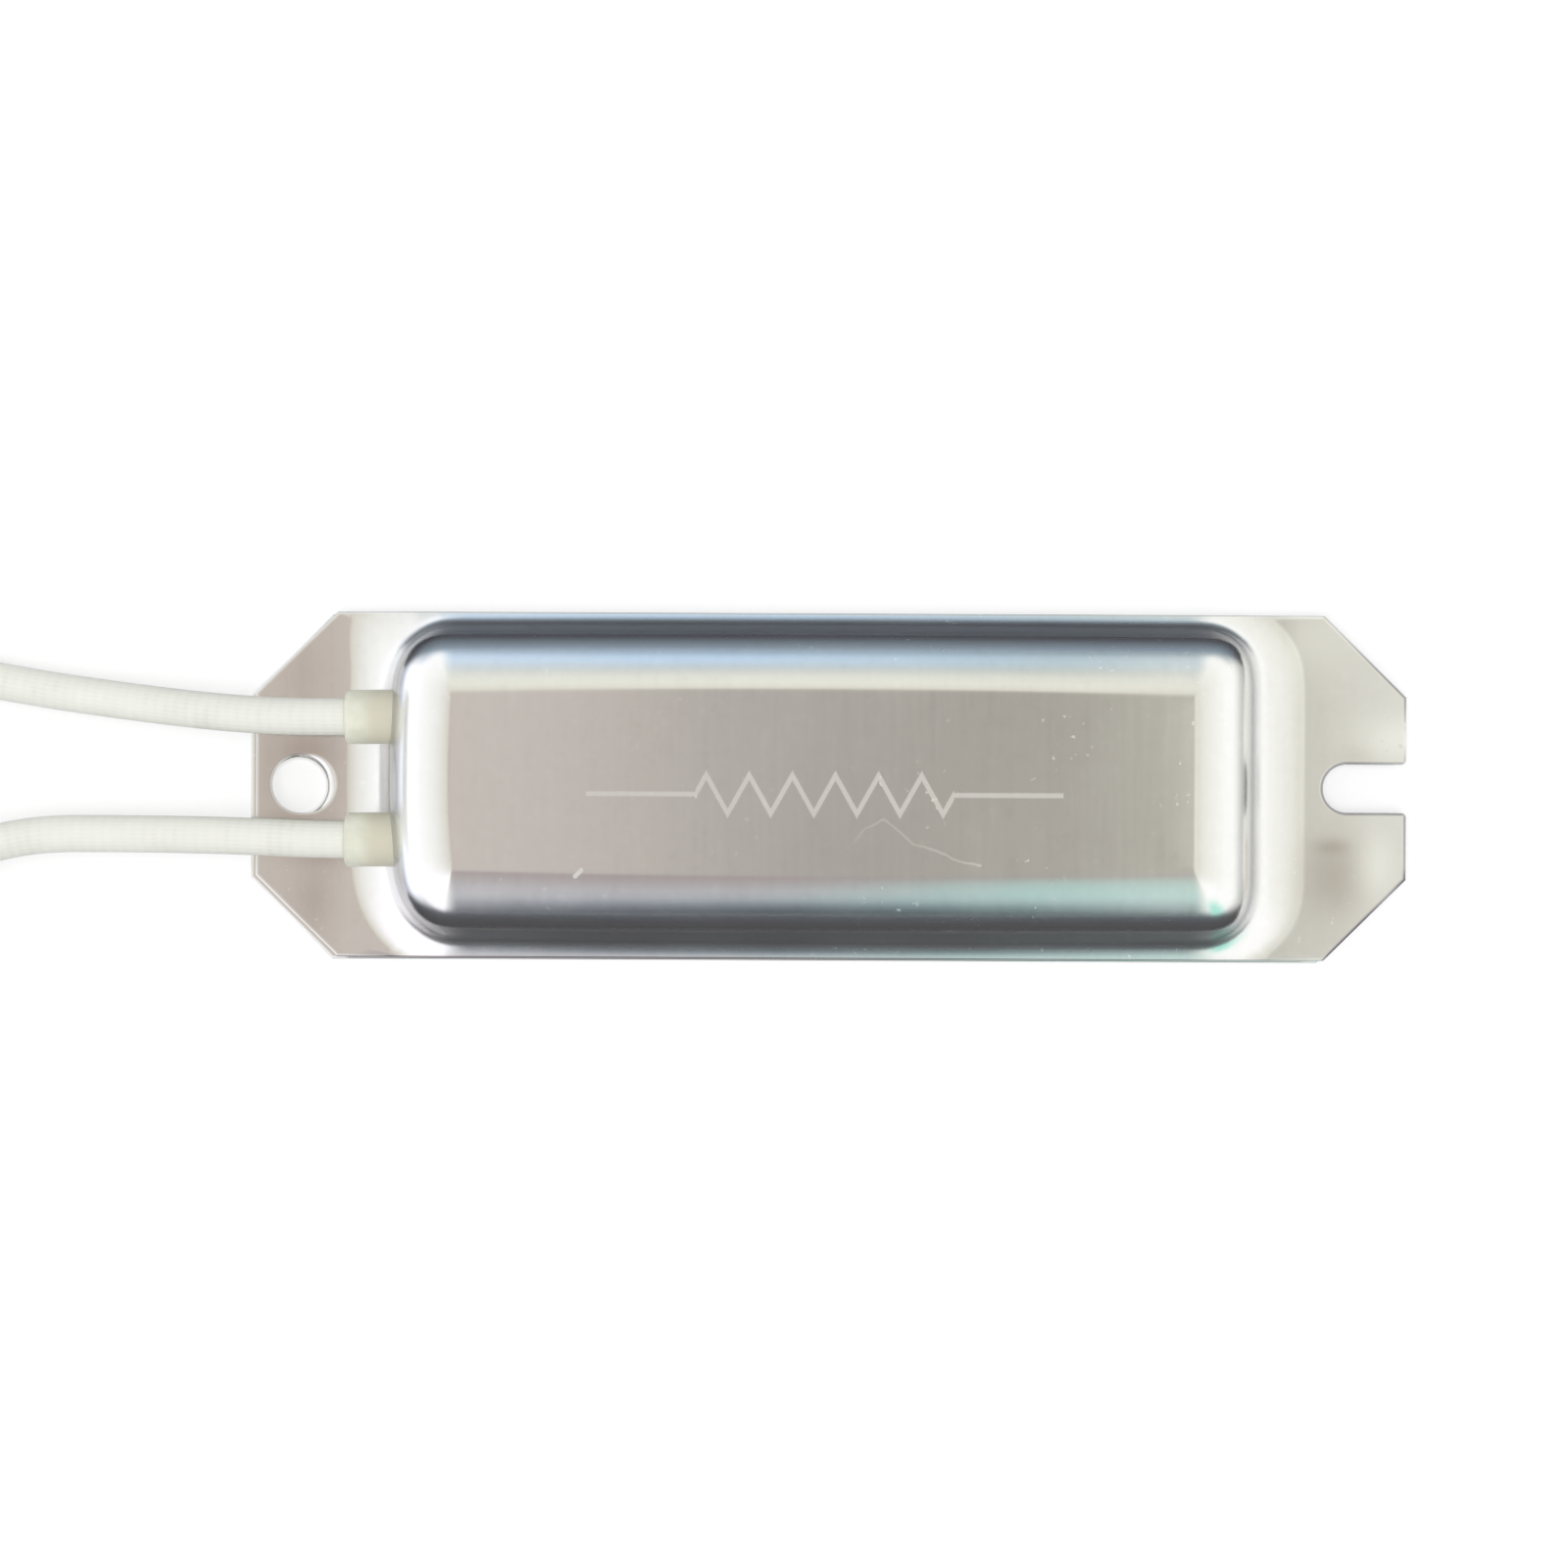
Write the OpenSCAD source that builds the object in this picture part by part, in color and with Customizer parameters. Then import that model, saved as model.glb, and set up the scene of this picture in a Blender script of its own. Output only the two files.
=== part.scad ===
// Aluminium housed power resistor, 60 W class, with two flying leads.
// A drawn cover with mounting ears lies on a flat base plate. Two wound ceramic cores, joined in
// series at their far end, are potted in cement between them, and both leads leave one end.
// Millimetres, +Z up. X runs along the case and the leads leave towards -X. The origin is in the
// middle of the case, on the face that is screwed to the heat sink.

/* [Ears and base plate] */
// Length of the cover and of the base plate
plate_l = 99.5; // [97:0.5:110]
// Width of the cover and of the base plate
plate_w = 29.8; // [29:0.1:31]
// Thickness of the flat base plate
base_t = 1.2; // [0.8:0.1:1.6]
// Length of each corner chamfer along X
chamfer_x = 7.1; // [4:0.1:8]
// Length of each corner chamfer along Y
chamfer_y = 7; // [4:0.1:8]
// How far the base plate sits towards -X of the cover, as assembled
misfit_x = 0.5; // [0:0.05:0.5]
// How far the base plate sits towards -Y of the cover, as assembled
misfit_y = 0.2; // [0:0.05:0.2]

/* [Mounting hole and slot] */
// Width of the hole in the cover
hole_d = 5; // [4.9:0.1:5.6]
// How much longer than wide the hole in the cover is
hole_extra = 0.5; // [0.4:0.1:1]
// Diameter of the round hole in the base plate
base_hole_d = 4.6; // [4:0.1:4.6]
// From the cover's left edge to the middle of its hole
hole_inset = 4.1; // [3.8:0.1:4.5]
// Width of the open slot in the cover
slot_w = 4.2; // [4.2:0.1:5]
// How much wider the slot in the base plate is
slot_ease = 0.4; // [0.4:0.1:0.8]
// Depth of the slot from the right edge
slot_depth = 7.2; // [5:0.1:8]
// Radius of the two corners at the slot's mouth
slot_lip_r = 0.4; // [0.2:0.1:1]

/* [Drawn cover] */
// Thickness of the cover's sheet
sheet_t = 0.8; // [0.6:0.1:1]
// Height of the pan's top above the flange
pan_h = 10; // [9.6:0.1:12]
// Length of the pan where its walls meet the top bend
pan_l = 72.6; // [70:0.2:74]
// Width of the pan where its walls meet the top bend
pan_w = 25.2; // [24:0.2:25.6]
// How far the pan sits towards -X of the cover's middle
pan_back_x = 0.9; // [0:0.1:1]
// How far the pan sits towards +Y of the cover's middle
pan_side_y = 0.2; // [0:0.1:0.4]
// Slope of the pan's walls away from upright, in degrees
draft = 15; // [8:1:18]
// Outer radius of the bend between the top and the walls
top_r = 5.3; // [4:0.1:5.5]
// Radius in plan of the flat top's corners, inside the top bend
flat_corner_r = 0.4; // [0.1:0.1:2]
// Radius of the bend at the foot of the walls
foot_r = 2; // [1.2:0.1:2.2]
// Radius of the long lead-in from the ears to the foot bend
sweep_r = 6; // [4:0.5:7]
// Slope at which the lead-in gives way to the foot bend, in degrees
sweep_a = 24; // [12:1:26]

/* [Leads and bushings] */
// Diameter of a lead over its insulation
lead_d = 3.2; // [2.8:0.1:3.4]
// Distance between the two leads where they leave the case
lead_pitch = 10.5; // [10:0.1:11]
// How far the middle between the leads is from the pan's middle, towards +Y
lead_side_y = 0.3; // [0:0.1:0.6]
// Height of the leads' axes above the flange
lead_rise = 3.2; // [3.1:0.1:3.6]
// Wall of a bushing round its lead
bushing_wall = 0.7; // [0.5:0.1:0.9]
// How far a bushing stands out from the upper end of the end wall
bushing_out = 5; // [4:0.1:5]
// Length of a bushing
bushing_l = 8; // [7.5:0.5:9]
// Radial play between a bushing and its lead, and between a bushing and its hole
bushing_play = 0.05; // [0.03:0.01:0.1]
// Diameter of the bared and tinned end of a lead
strand_d = 1.4; // [1:0.1:1.6]
// Length of the bared end at the free end of a lead
tip_l = 8; // [5:0.5:10]
// Length of insulation that reaches past a bushing into the cement
inner_l = 0.5; // [0.2:0.1:1]

/* [Resistor elements] */
// Outer diameter of a ceramic core
core_d = 5.6; // [4.6:0.1:6]
// Diameter of the bore through a ceramic core
core_bore = 2.4; // [2:0.1:3.2]
// Diameter of the resistance wire
wire_d = 0.5; // [0.3:0.05:0.6]
// Turns on one core
turns = 20; // [8:1:22]
// Wall of an end cap
cap_t = 0.4; // [0.3:0.05:0.5]
// Depth of an end cap
cap_l = 5; // [4:0.5:6]
// Length of a crimp barrel between lead and cap
crimp_l = 7; // [6:0.5:8]
// Wall of a crimp barrel
crimp_wall = 0.7; // [0.5:0.1:0.9]
// Length of bare strands in front of a crimp barrel
bare_l = 1; // [0.5:0.1:1.5]
// Diameter of the tail welded to a cap at the lead end
tail_d = 1.4; // [1:0.1:1.4]
// Length of that tail between the crimp barrel and the cap
tail_l = 1.5; // [1:0.1:2]
// Thickness of the strip that joins the two far caps
link_t = 0.6; // [0.4:0.1:1]
// Width of that strip
link_w = 5; // [3:0.5:6]
// Thickness of the mica sheet on the base plate
mica_t = 0.3; // [0.1:0.1:0.5]
// Clearance between the cement and what it holds
pot_gap = 0.05; // [0.02:0.01:0.1]
// Cement left between the far strip and the pan's end bend
far_cover = 3; // [2.5:0.5:8]

/* [Hank of leads] */
// Length of the straight runs of the hank
hank_run = 48; // [48:1:60]
// Where the straight runs start, towards the case
hank_x = -92; // [-92:1:-90]
// Where the middle of the hank is across the case
hank_y = 1.5; // [1.5:0.5:2]
// Inner radius at the two ends of the hank
hank_hole_r = 6.4; // [6.4:0.1:8]
// How far beyond the hank's middle the free ends reach
hank_end = 4; // [4:0.5:12]
// Width of the tie
tie_w = 3; // [2:0.5:5]
// Thickness of the tie's strap
tie_t = 0.6; // [0.4:0.1:1]
// Side of the tie's lock
tie_lock = 4.4; // [3:0.2:6]
// Height of the tie's lock
tie_lock_h = 2.2; // [1.5:0.1:3]

/* [Hidden] */
$fn = 96;

// Plates: the cover and the base plate are shifted half of their misfit each way.
cover_at = [misfit_x / 2, misfit_y / 2];
base_at = -cover_at;
flange_z = base_t + sheet_t;
top_z = flange_z + pan_h;
through = 1;

// The sheet's section, as [distance out from a corner centre, height], along its outer face:
// flat top, top bend, wall, foot bend, lead-in, flange.
wall_n = [cos(draft), sin(draft)];
bend_c = [flat_corner_r, top_z - top_r];
wall_top = bend_c + top_r * wall_n;
foot_top_z = flange_z + sweep_r * (1 - cos(sweep_a)) + foot_r * (cos(sweep_a) - sin(draft));
wall_foot = [wall_top[0] + (wall_top[1] - foot_top_z) * tan(draft), foot_top_z];
foot_c = wall_foot + foot_r * wall_n;
sweep_c = foot_c + (sweep_r - foot_r) * [sin(sweep_a), cos(sweep_a)];
foot_u = sweep_c[0];

// The pan's place, and the centres about which its corners turn.
pan_at = cover_at + [-pan_back_x, pan_side_y];
corner_x = pan_l / 2 - wall_top[0];
corner_y = pan_w / 2 - wall_top[0];

// Overlaps, so that no two shapes that belong together only touch.
hair = 0.002;
lap = 0.5;

// The cement fills the pan down to the mica, a little inside the sheet.
inset = sheet_t + pot_gap;
mica_z = base_t + mica_t;
fill_u = wall_foot[0] - inset * wall_n[0];

// The two lines along which leads, crimps, caps and cores lie.
axis_z = flange_z + lead_rise;
line_y = [for (s = [1, -1]) pan_at[1] + lead_side_y + s * lead_pitch / 2];
bushing_r = lead_d / 2 + bushing_play + bushing_wall;
cap_r = core_d / 2 + cap_t;
crimp_r = strand_d / 2 + crimp_wall;

// The wire's axis, for a helix of straight steps that clear the core, and its outside.
wire_steps = 12;
wire_sides = 6;
wire_gap = 0.02;
wire_axis_r = (core_d / 2 + wire_gap + wire_d / 2) / cos(180 / wire_steps);
winding_r = wire_axis_r + wire_d / 2;

// Stations along X, from the lead end of the case to its far end.
wall_x = pan_at[0] - pan_l / 2;
bushing_x = wall_x - bushing_out;
lead_in_x = bushing_x + bushing_l + inner_l;
crimp_x = lead_in_x + bare_l;
cap_x = crimp_x + crimp_l + tail_l;
link_x = pan_at[0] + pan_l / 2 - top_r * wall_n[0] - far_cover;
far_cap_x = link_x - link_t;
core_x = cap_x + cap_t;
core_l = far_cap_x - cap_t - core_x;
wound_x = cap_x + cap_l;
wound_l = far_cap_x - cap_l - wound_x;
butt_gap = 0.2;

// The hank: two leads, each in its own layer, wound from outside to inside in two lanes.
lane_r = [hank_hole_r + 1.5 * lead_d, hank_hole_r + 0.5 * lead_d];
hank_r = hank_hole_r + 2 * lead_d;
layer_z = [for (i = [0, 1]) tie_t + (i + 0.5) * lead_d];
tie_x = hank_x - hank_run / 2;
end_x = tie_x + hank_end;

// Routes of the leads from inside the bushing to the hank.
route_back = [
    [-33.45, 5.85, 5.2], [-42, 5.85, 5.2], [-45, 5.86, 5.15], [-48, 5.94, 4.95], [-51, 6.13, 4.6],
    [-54, 6.4, 4.2], [-57, 6.73, 3.75], [-60, 7.1, 3.3], [-63, 7.5, 2.9], [-66, 7.92, 2.6],
    [-69, 8.4, 2.4], [-72, 8.95, 2.3], [-75, 9.8, 2.22], [-78, 11.2, 2.2], [-80.5, 12.3, 2.2],
    [-83, 12.7, 2.2]
];
route_front = [
    [-33.45, -4.65, 5.2], [-42, -4.65, 5.2], [-45, -4.6, 5.15], [-48, -4.48, 5], [-51, -4.38, 4.75],
    [-54, -4.32, 4.45], [-57, -4.28, 4.2], [-60, -4.26, 4.05], [-63, -4.26, 4], [-66, -4.3, 4.08],
    [-69, -4.6, 4.3], [-72, -5.3, 4.6], [-75, -6.6, 4.95], [-78, -8.2, 5.25],
    [-80.5, -9.35, 5.37], [-83, -9.7, 5.4]
];
stub_x = route_back[len(route_back) - 1][0];
tube_sides = 8;

function unit(v) = v / norm(v);
function along(route, i) =
    i == 0 || i == len(route) - 1 ? [-1, 0, 0] : unit(route[i + 1] - route[i - 1]);
function ring(at, dir, r, sides) =
    let (across = unit(cross(dir, [0, 0, 1])), up = cross(across, dir))
    [for (k = [0:sides - 1]) let (a = 360 * (k + 0.5) / sides)
        at + r * (cos(a) * across + sin(a) * up)];

// A closed tube through rings of points, each ring as long as the others.
module skin(rings) {
    sides = len(rings[0]);
    last = len(rings) - 1;
    polyhedron(
        points = [for (r = rings) each r],
        faces = concat(
            [[for (k = [0:sides - 1]) k]],
            [[for (k = [sides - 1:-1:0]) last * sides + k]],
            [for (i = [0:last - 1], k = [0:sides - 1]) let (a = i * sides, b = (k + 1) % sides)
                each [[a + k, a + sides + k, a + sides + b], [a + k, a + sides + b, a + b]]]
        ),
        convexity = 6
    );
}

// A cylinder along +X from the point x on one of the two lines.
module rod(x, l, r, line) {
    translate([x, line_y[line], axis_z])
        rotate([0, 90, 0])
            cylinder(h = l, r = r);
}

// Flat outline shared by the cover and the base plate, about its own middle.
module plate_outline() {
    x = plate_l / 2;
    y = plate_w / 2;
    polygon([
        [x, y - chamfer_y], [x - chamfer_x, y], [chamfer_x - x, y], [-x, y - chamfer_y],
        [-x, chamfer_y - y], [chamfer_x - x, -y], [x - chamfer_x, -y], [x, chamfer_y - y]
    ]);
}

// Open slot of width w, cut in from the right edge, with its mouth corners rounded.
module slot_outline(w) {
    x = plate_l / 2;
    end_c = x - slot_depth + slot_w / 2;
    translate([end_c, 0])
        circle(d = w);
    translate([end_c, -w / 2])
        square([x - end_c + through, w]);
    for (s = [1, -1])
        translate([x, s * w / 2])
            mirror([0, s < 0 ? 1 : 0])
                difference() {
                    translate([-slot_lip_r, -slot_lip_r / 2])
                        square([slot_lip_r + through, slot_lip_r * 1.5]);
                    translate([-slot_lip_r, slot_lip_r])
                        circle(r = slot_lip_r);
                }
}

// Rectangle with round corners of radius r about the pan's four corner centres.
module pan_outline(r) {
    for (sx = [1, -1], sy = [1, -1])
        translate([sx * corner_x, sy * corner_y])
            circle(r = r);
    square([2 * corner_x, 2 * (corner_y + r)], center = true);
    square([2 * (corner_x + r), 2 * corner_y], center = true);
}

// Everything under a face that lies d inside the sheet's outer face, from a corner centre out to
// the distance far and down to the height low. Neighbouring bends cross by a hair, never just touch.
module under_face(d, far, low) {
    lead_in_end = foot_c - (foot_r + d) * [sin(sweep_a), cos(sweep_a)];
    intersection() {
        translate(bend_c)
            circle(r = top_r - d);
        square([far, top_z]);
    }
    difference() {
        polygon([
            [0, low], [far, low], [far, flange_z - d], [foot_u, flange_z - d], lead_in_end,
            wall_foot - d * wall_n, wall_top - (d + hair) * wall_n, [bend_c[0], top_z - d], [0, top_z - d]
        ]);
        translate(foot_c)
            circle(r = foot_r + d + hair);
        intersection() {
            translate(sweep_c)
                circle(r = sweep_r + d);
            polygon([
                sweep_c, sweep_c - 2 * sweep_r * [sin(sweep_a), cos(sweep_a)],
                [foot_u, sweep_c[1] - 2 * sweep_r]
            ]);
        }
    }
}

// Section of the drawn sheet, from a corner centre out to a lap onto the flat ears.
module sheet_section() {
    difference() {
        under_face(0, foot_u + lap, base_t);
        under_face(sheet_t, foot_u + 2 * lap, 0);
    }
}

// Section of the cement, from a corner centre out.
module cement_section() {
    translate(bend_c)
        intersection() {
            circle(r = top_r - inset);
            translate([-bend_c[0], 0])
                square(top_r + bend_c[0]);
        }
    polygon([
        [0, mica_z], [fill_u, mica_z], wall_foot - inset * wall_n,
        wall_top - (inset + hair) * wall_n, [bend_c[0], top_z - inset], [0, top_z - inset]
    ]);
}

// Sweeps a section, given as children, round the pan's four sides and four corners.
module swept() {
    for (side = [0:3]) {
        across = side % 2 == 0;
        rotate([0, 0, 90 * side])
            translate([across ? corner_x : corner_y, 0, 0])
                rotate([90, 0, 0])
                    linear_extrude(2 * (across ? corner_y : corner_x), center = true)
                        children();
        rotate([0, 0, 90 * side])
            translate([across ? corner_x : corner_y, across ? corner_y : corner_x, 0])
                rotate_extrude(angle = 90)
                    children();
    }
}

module cover() {
    color([0.76, 0.74, 0.71])
        difference() {
            translate(cover_at)
                union() {
                    translate([0, 0, base_t])
                        linear_extrude(sheet_t)
                            difference() {
                                plate_outline();
                                slot_outline(slot_w);
                                for (s = [1, -1])
                                    translate([hole_inset - plate_l / 2 + s * hole_extra / 2, 0])
                                        circle(d = hole_d);
                                translate([hole_inset - plate_l / 2, 0])
                                    square([hole_extra, hole_d], center = true);
                                translate(pan_at - cover_at)
                                    pan_outline(foot_u + lap / 2);
                            }
                    intersection() {
                        translate(pan_at - cover_at) {
                            swept()
                                sheet_section();
                            translate([-corner_x, -corner_y, top_z - sheet_t])
                                cube([2 * corner_x, 2 * corner_y, sheet_t]);
                        }
                        linear_extrude(top_z + through)
                            plate_outline();
                    }
                }
            for (line = [0, 1])
                rod(bushing_x, bushing_out + 2 * sheet_t, bushing_r + bushing_play, line);
        }
}

module base_plate() {
    color([0.8, 0.8, 0.8])
        translate(base_at)
            linear_extrude(base_t)
                difference() {
                    plate_outline();
                    slot_outline(slot_w + slot_ease);
                    translate([hole_inset - plate_l / 2, 0])
                        circle(d = base_hole_d);
                }
}

module mica_sheet() {
    color([0.72, 0.66, 0.5])
        translate([pan_at[0], pan_at[1], base_t])
            linear_extrude(mica_t)
                pan_outline(fill_u);
}

// Everything on one line that the cement has to leave room for, as a turned shape. Each step is
// the station where it ends and its radius.
module pocket(line) {
    g = pot_gap;
    start = bushing_x;
    steps = [
        [bushing_x + bushing_l + g, bushing_r + g], [crimp_x - g, lead_d / 2 + g],
        [crimp_x + crimp_l + g, crimp_r + g], [cap_x - g, tail_d / 2 + g],
        [wound_x - g, cap_r + g], [wound_x + wound_l + g, winding_r + g], [link_x + g, cap_r + g]
    ];
    translate([0, line_y[line], axis_z])
        rotate([0, 90, 0])
            rotate_extrude()
                polygon([
                    [0, start],
                    for (i = [0:len(steps) - 1]) each
                        [[steps[i][1], i == 0 ? start : steps[i - 1][0]], [steps[i][1], steps[i][0]]],
                    [0, steps[len(steps) - 1][0]]
                ]);
}

module cement_filling() {
    color([0.86, 0.85, 0.8])
        difference() {
            translate(pan_at) {
                swept()
                    cement_section();
                translate([-corner_x, -corner_y, mica_z])
                    cube([2 * corner_x, 2 * corner_y, top_z - inset - mica_z]);
            }
            for (line = [0, 1])
                pocket(line);
            link_block(pot_gap);
        }
}

module core(line) {
    color([0.93, 0.92, 0.88])
        difference() {
            rod(core_x, core_l, core_d / 2, line);
            rod(core_x - through, core_l + 2 * through, core_bore / 2, line);
        }
}

// Resistance wire as a helix from one cap's rim to the other's.
module winding(line) {
    last = turns * wire_steps;
    color([0.45, 0.42, 0.4])
        skin([for (i = [0:last])
            let (a = 360 * i / wire_steps, x = wound_x + wire_d / 2 + (wound_l - wire_d) * i / last,
                out = [0, cos(a), sin(a)])
            [for (k = [0:wire_sides - 1]) let (b = 360 * k / wire_sides)
                [x, line_y[line], axis_z] + wire_axis_r * out
                    + wire_d / 2 * (cos(b) * out + sin(b) * [1, 0, 0])]]);
}

// Pressed steel cup over one end of a core, its open side towards +X, about its own closed end.
module cup(hole_r) {
    rotate([0, 90, 0])
        difference() {
            cylinder(h = cap_l, r = cap_r);
            translate([0, 0, cap_t])
                cylinder(h = cap_l, r = core_d / 2);
            if (hole_r > 0)
                translate([0, 0, -through])
                    cylinder(h = cap_t + 2 * through, r = hole_r);
        }
}

module lead_cap(line) {
    color([0.7, 0.7, 0.7]) {
        translate([cap_x, line_y[line], axis_z])
            cup(0);
        rod(cap_x - crimp_l / 2 - tail_l, crimp_l / 2 + tail_l, tail_d / 2, line);
    }
}

module far_cap(line) {
    color([0.7, 0.7, 0.7])
        translate([far_cap_x, line_y[line], axis_z])
            mirror([1, 0, 0])
                cup(core_bore / 2);
}

// The strip across both far caps, and the room that the cement leaves for it.
module link_block(g) {
    y0 = line_y[1] - cap_r + cap_t - g;
    y1 = line_y[0] + cap_r - cap_t + g;
    translate([far_cap_x - g, y0, axis_z - link_w / 2 - g])
        cube([link_t + 2 * g, y1 - y0, link_w + 2 * g]);
}

module link_strip() {
    color([0.72, 0.71, 0.68])
        link_block(0);
}

module crimp(line) {
    color([0.8, 0.78, 0.74])
        difference() {
            rod(crimp_x, crimp_l, crimp_r, line);
            rod(crimp_x - through, crimp_l + 2 * through, strand_d / 2, line);
        }
}

// Bared strands from the end of the insulation to just short of the crimp's middle.
module strands(line) {
    color([0.8, 0.8, 0.78])
        rod(lead_in_x, bare_l + crimp_l / 2 - butt_gap, strand_d / 2, line);
}

module bushing(line) {
    color([0.87, 0.85, 0.76])
        difference() {
            rod(bushing_x, bushing_l, bushing_r, line);
            rod(bushing_x - through, bushing_l + 2 * through, bushing_r - bushing_wall, line);
        }
}

module lead(route) {
    color([0.92, 0.92, 0.88])
        skin([for (i = [0:len(route) - 1]) ring(route[i], along(route, i), lead_d / 2, tube_sides)]);
}

// One racetrack-shaped outline of the hank, of half width r.
module track(r) {
    for (x = [hank_x, hank_x - hank_run])
        translate([x, hank_y])
            circle(r = r);
    translate([hank_x - hank_run, hank_y - r])
        square([hank_run, 2 * r]);
}

// Both layers of the hank. Each lead comes in along the outer lane and ends in the inner one.
module lead_hank() {
    color([0.92, 0.92, 0.88])
        for (layer = [0, 1]) {
            s = layer == 0 ? 1 : -1;
            translate([0, 0, layer_z[layer] - lead_d / 2])
                linear_extrude(lead_d)
                    difference() {
                        union() {
                            track(hank_r);
                            translate([hank_x, hank_y + s * lane_r[0] - lead_d / 2])
                                square([stub_x - hank_x, lead_d]);
                        }
                        track(hank_hole_r);
                        translate([end_x, hank_y - s * lane_r[1] - lead_d / 2])
                            square([hank_x - end_x, lead_d]);
                    }
        }
}

// Tinned strands at the free end of a lead, where its insulation stops in the inner lane.
module tip(layer) {
    s = layer == 0 ? 1 : -1;
    color([0.8, 0.8, 0.78])
        translate([end_x, hank_y - s * lane_r[1], layer_z[layer]])
            rotate([0, 90, 0])
                cylinder(h = tip_l, r = strand_d / 2);
}

module hank_tie() {
    w = 2 * hank_r;
    h = 2 * lead_d;
    color([0.9, 0.9, 0.9])
        translate([tie_x - tie_w / 2, hank_y, 0]) {
            difference() {
                translate([0, -w / 2 - tie_t, 0])
                    cube([tie_w, w + 2 * tie_t, h + 2 * tie_t]);
                translate([-through, -w / 2, tie_t])
                    cube([tie_w + 2 * through, w, h]);
            }
            translate([tie_w / 2 - tie_lock / 2, -tie_lock / 2, h + 2 * tie_t])
                cube([tie_lock, tie_lock, tie_lock_h]);
        }
}

cover();
base_plate();
mica_sheet();
cement_filling();
core(0);  // core_back
core(1);  // core_front
winding(0);  // winding_back
winding(1);  // winding_front
lead_cap(0);  // lead_cap_back
lead_cap(1);  // lead_cap_front
far_cap(0);  // far_cap_back
far_cap(1);  // far_cap_front
link_strip();
crimp(0);  // crimp_back
crimp(1);  // crimp_front
strands(0);  // strands_back
strands(1);  // strands_front
bushing(0);  // bushing_back
bushing(1);  // bushing_front
lead(route_back);  // lead_back
lead(route_front);  // lead_front
tip(0);  // tip_back
tip(1);  // tip_front
lead_hank();
hank_tie();
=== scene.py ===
# %% [markdown]
# # Aluminium housed power resistor
# A flat resistor that is screwed to a heat sink: a drawn aluminium cover over a base plate, with two
# sleeved leads. The CAD model is loaded as a fixed frame, and each piece that shows gets its finer
# shape and its finish here.

# %% Load the frame
import math
import bpy
import bmesh
import numpy as np
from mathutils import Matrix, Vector, geometry


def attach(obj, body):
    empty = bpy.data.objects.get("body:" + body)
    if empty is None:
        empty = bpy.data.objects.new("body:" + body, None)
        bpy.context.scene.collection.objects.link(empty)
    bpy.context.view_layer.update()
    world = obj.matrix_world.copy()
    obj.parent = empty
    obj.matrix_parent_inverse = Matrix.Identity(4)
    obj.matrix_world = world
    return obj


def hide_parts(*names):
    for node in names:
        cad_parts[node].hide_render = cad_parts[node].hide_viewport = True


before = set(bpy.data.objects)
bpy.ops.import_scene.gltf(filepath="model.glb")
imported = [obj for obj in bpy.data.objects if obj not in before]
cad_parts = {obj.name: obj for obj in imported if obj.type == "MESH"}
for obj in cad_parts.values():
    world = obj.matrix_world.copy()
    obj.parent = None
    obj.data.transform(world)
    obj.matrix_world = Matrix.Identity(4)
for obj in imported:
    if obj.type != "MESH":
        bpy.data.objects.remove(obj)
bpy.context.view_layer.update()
scene = bpy.context.scene

# %% [markdown]
# ## Camera
# The case is seen straight from above, from about 30 cm, and hangs a quarter of a degree clockwise
# in the frame. A near camera is needed, because it shows the pan's top larger than its foot.
# Shapes below are worked out in millimetres and written to the meshes in metres.

# %% Camera
MM = 0.001
FLANGE_Z = 2.0  # upper face of the flat ears
EYE = (-3.8, 0.32, 292)
FIELD, SENSOR = 135.6, 36  # the field is what the frame shows at the flange's height
lens_data = bpy.data.cameras.new("camera")
lens_data.sensor_width = SENSOR
lens_data.lens = SENSOR * (EYE[2] - FLANGE_Z) / FIELD
camera = bpy.data.objects.new("camera", lens_data)
camera.location = [v * MM for v in EYE]
camera.rotation_euler = (0, 0, math.radians(0.27))
scene.collection.objects.link(camera)
scene.camera = camera
print("lens", round(lens_data.lens, 1), "mm")

# %% [markdown]
# ## From arrays to meshes
# Every surface here is worked out as a whole array of points. A helper joins a grid of points into
# quads. Another gathers several grids and flat fills, welds the points that they share and sets
# which edges stay sharp.


# %% Grids and meshes
def grid_faces(rows, columns, flip=False):
    """Quads that join a grid of points, row by row, and the last column to the first."""
    i, j = np.meshgrid(np.arange(rows - 1), np.arange(columns), indexing="ij")
    k = (j + 1) % columns
    corner = [i * columns + j, i * columns + k, (i + 1) * columns + k, (i + 1) * columns + j]
    return np.stack(corner[::-1] if flip else corner, axis=-1).reshape(-1, 4).tolist()


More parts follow.
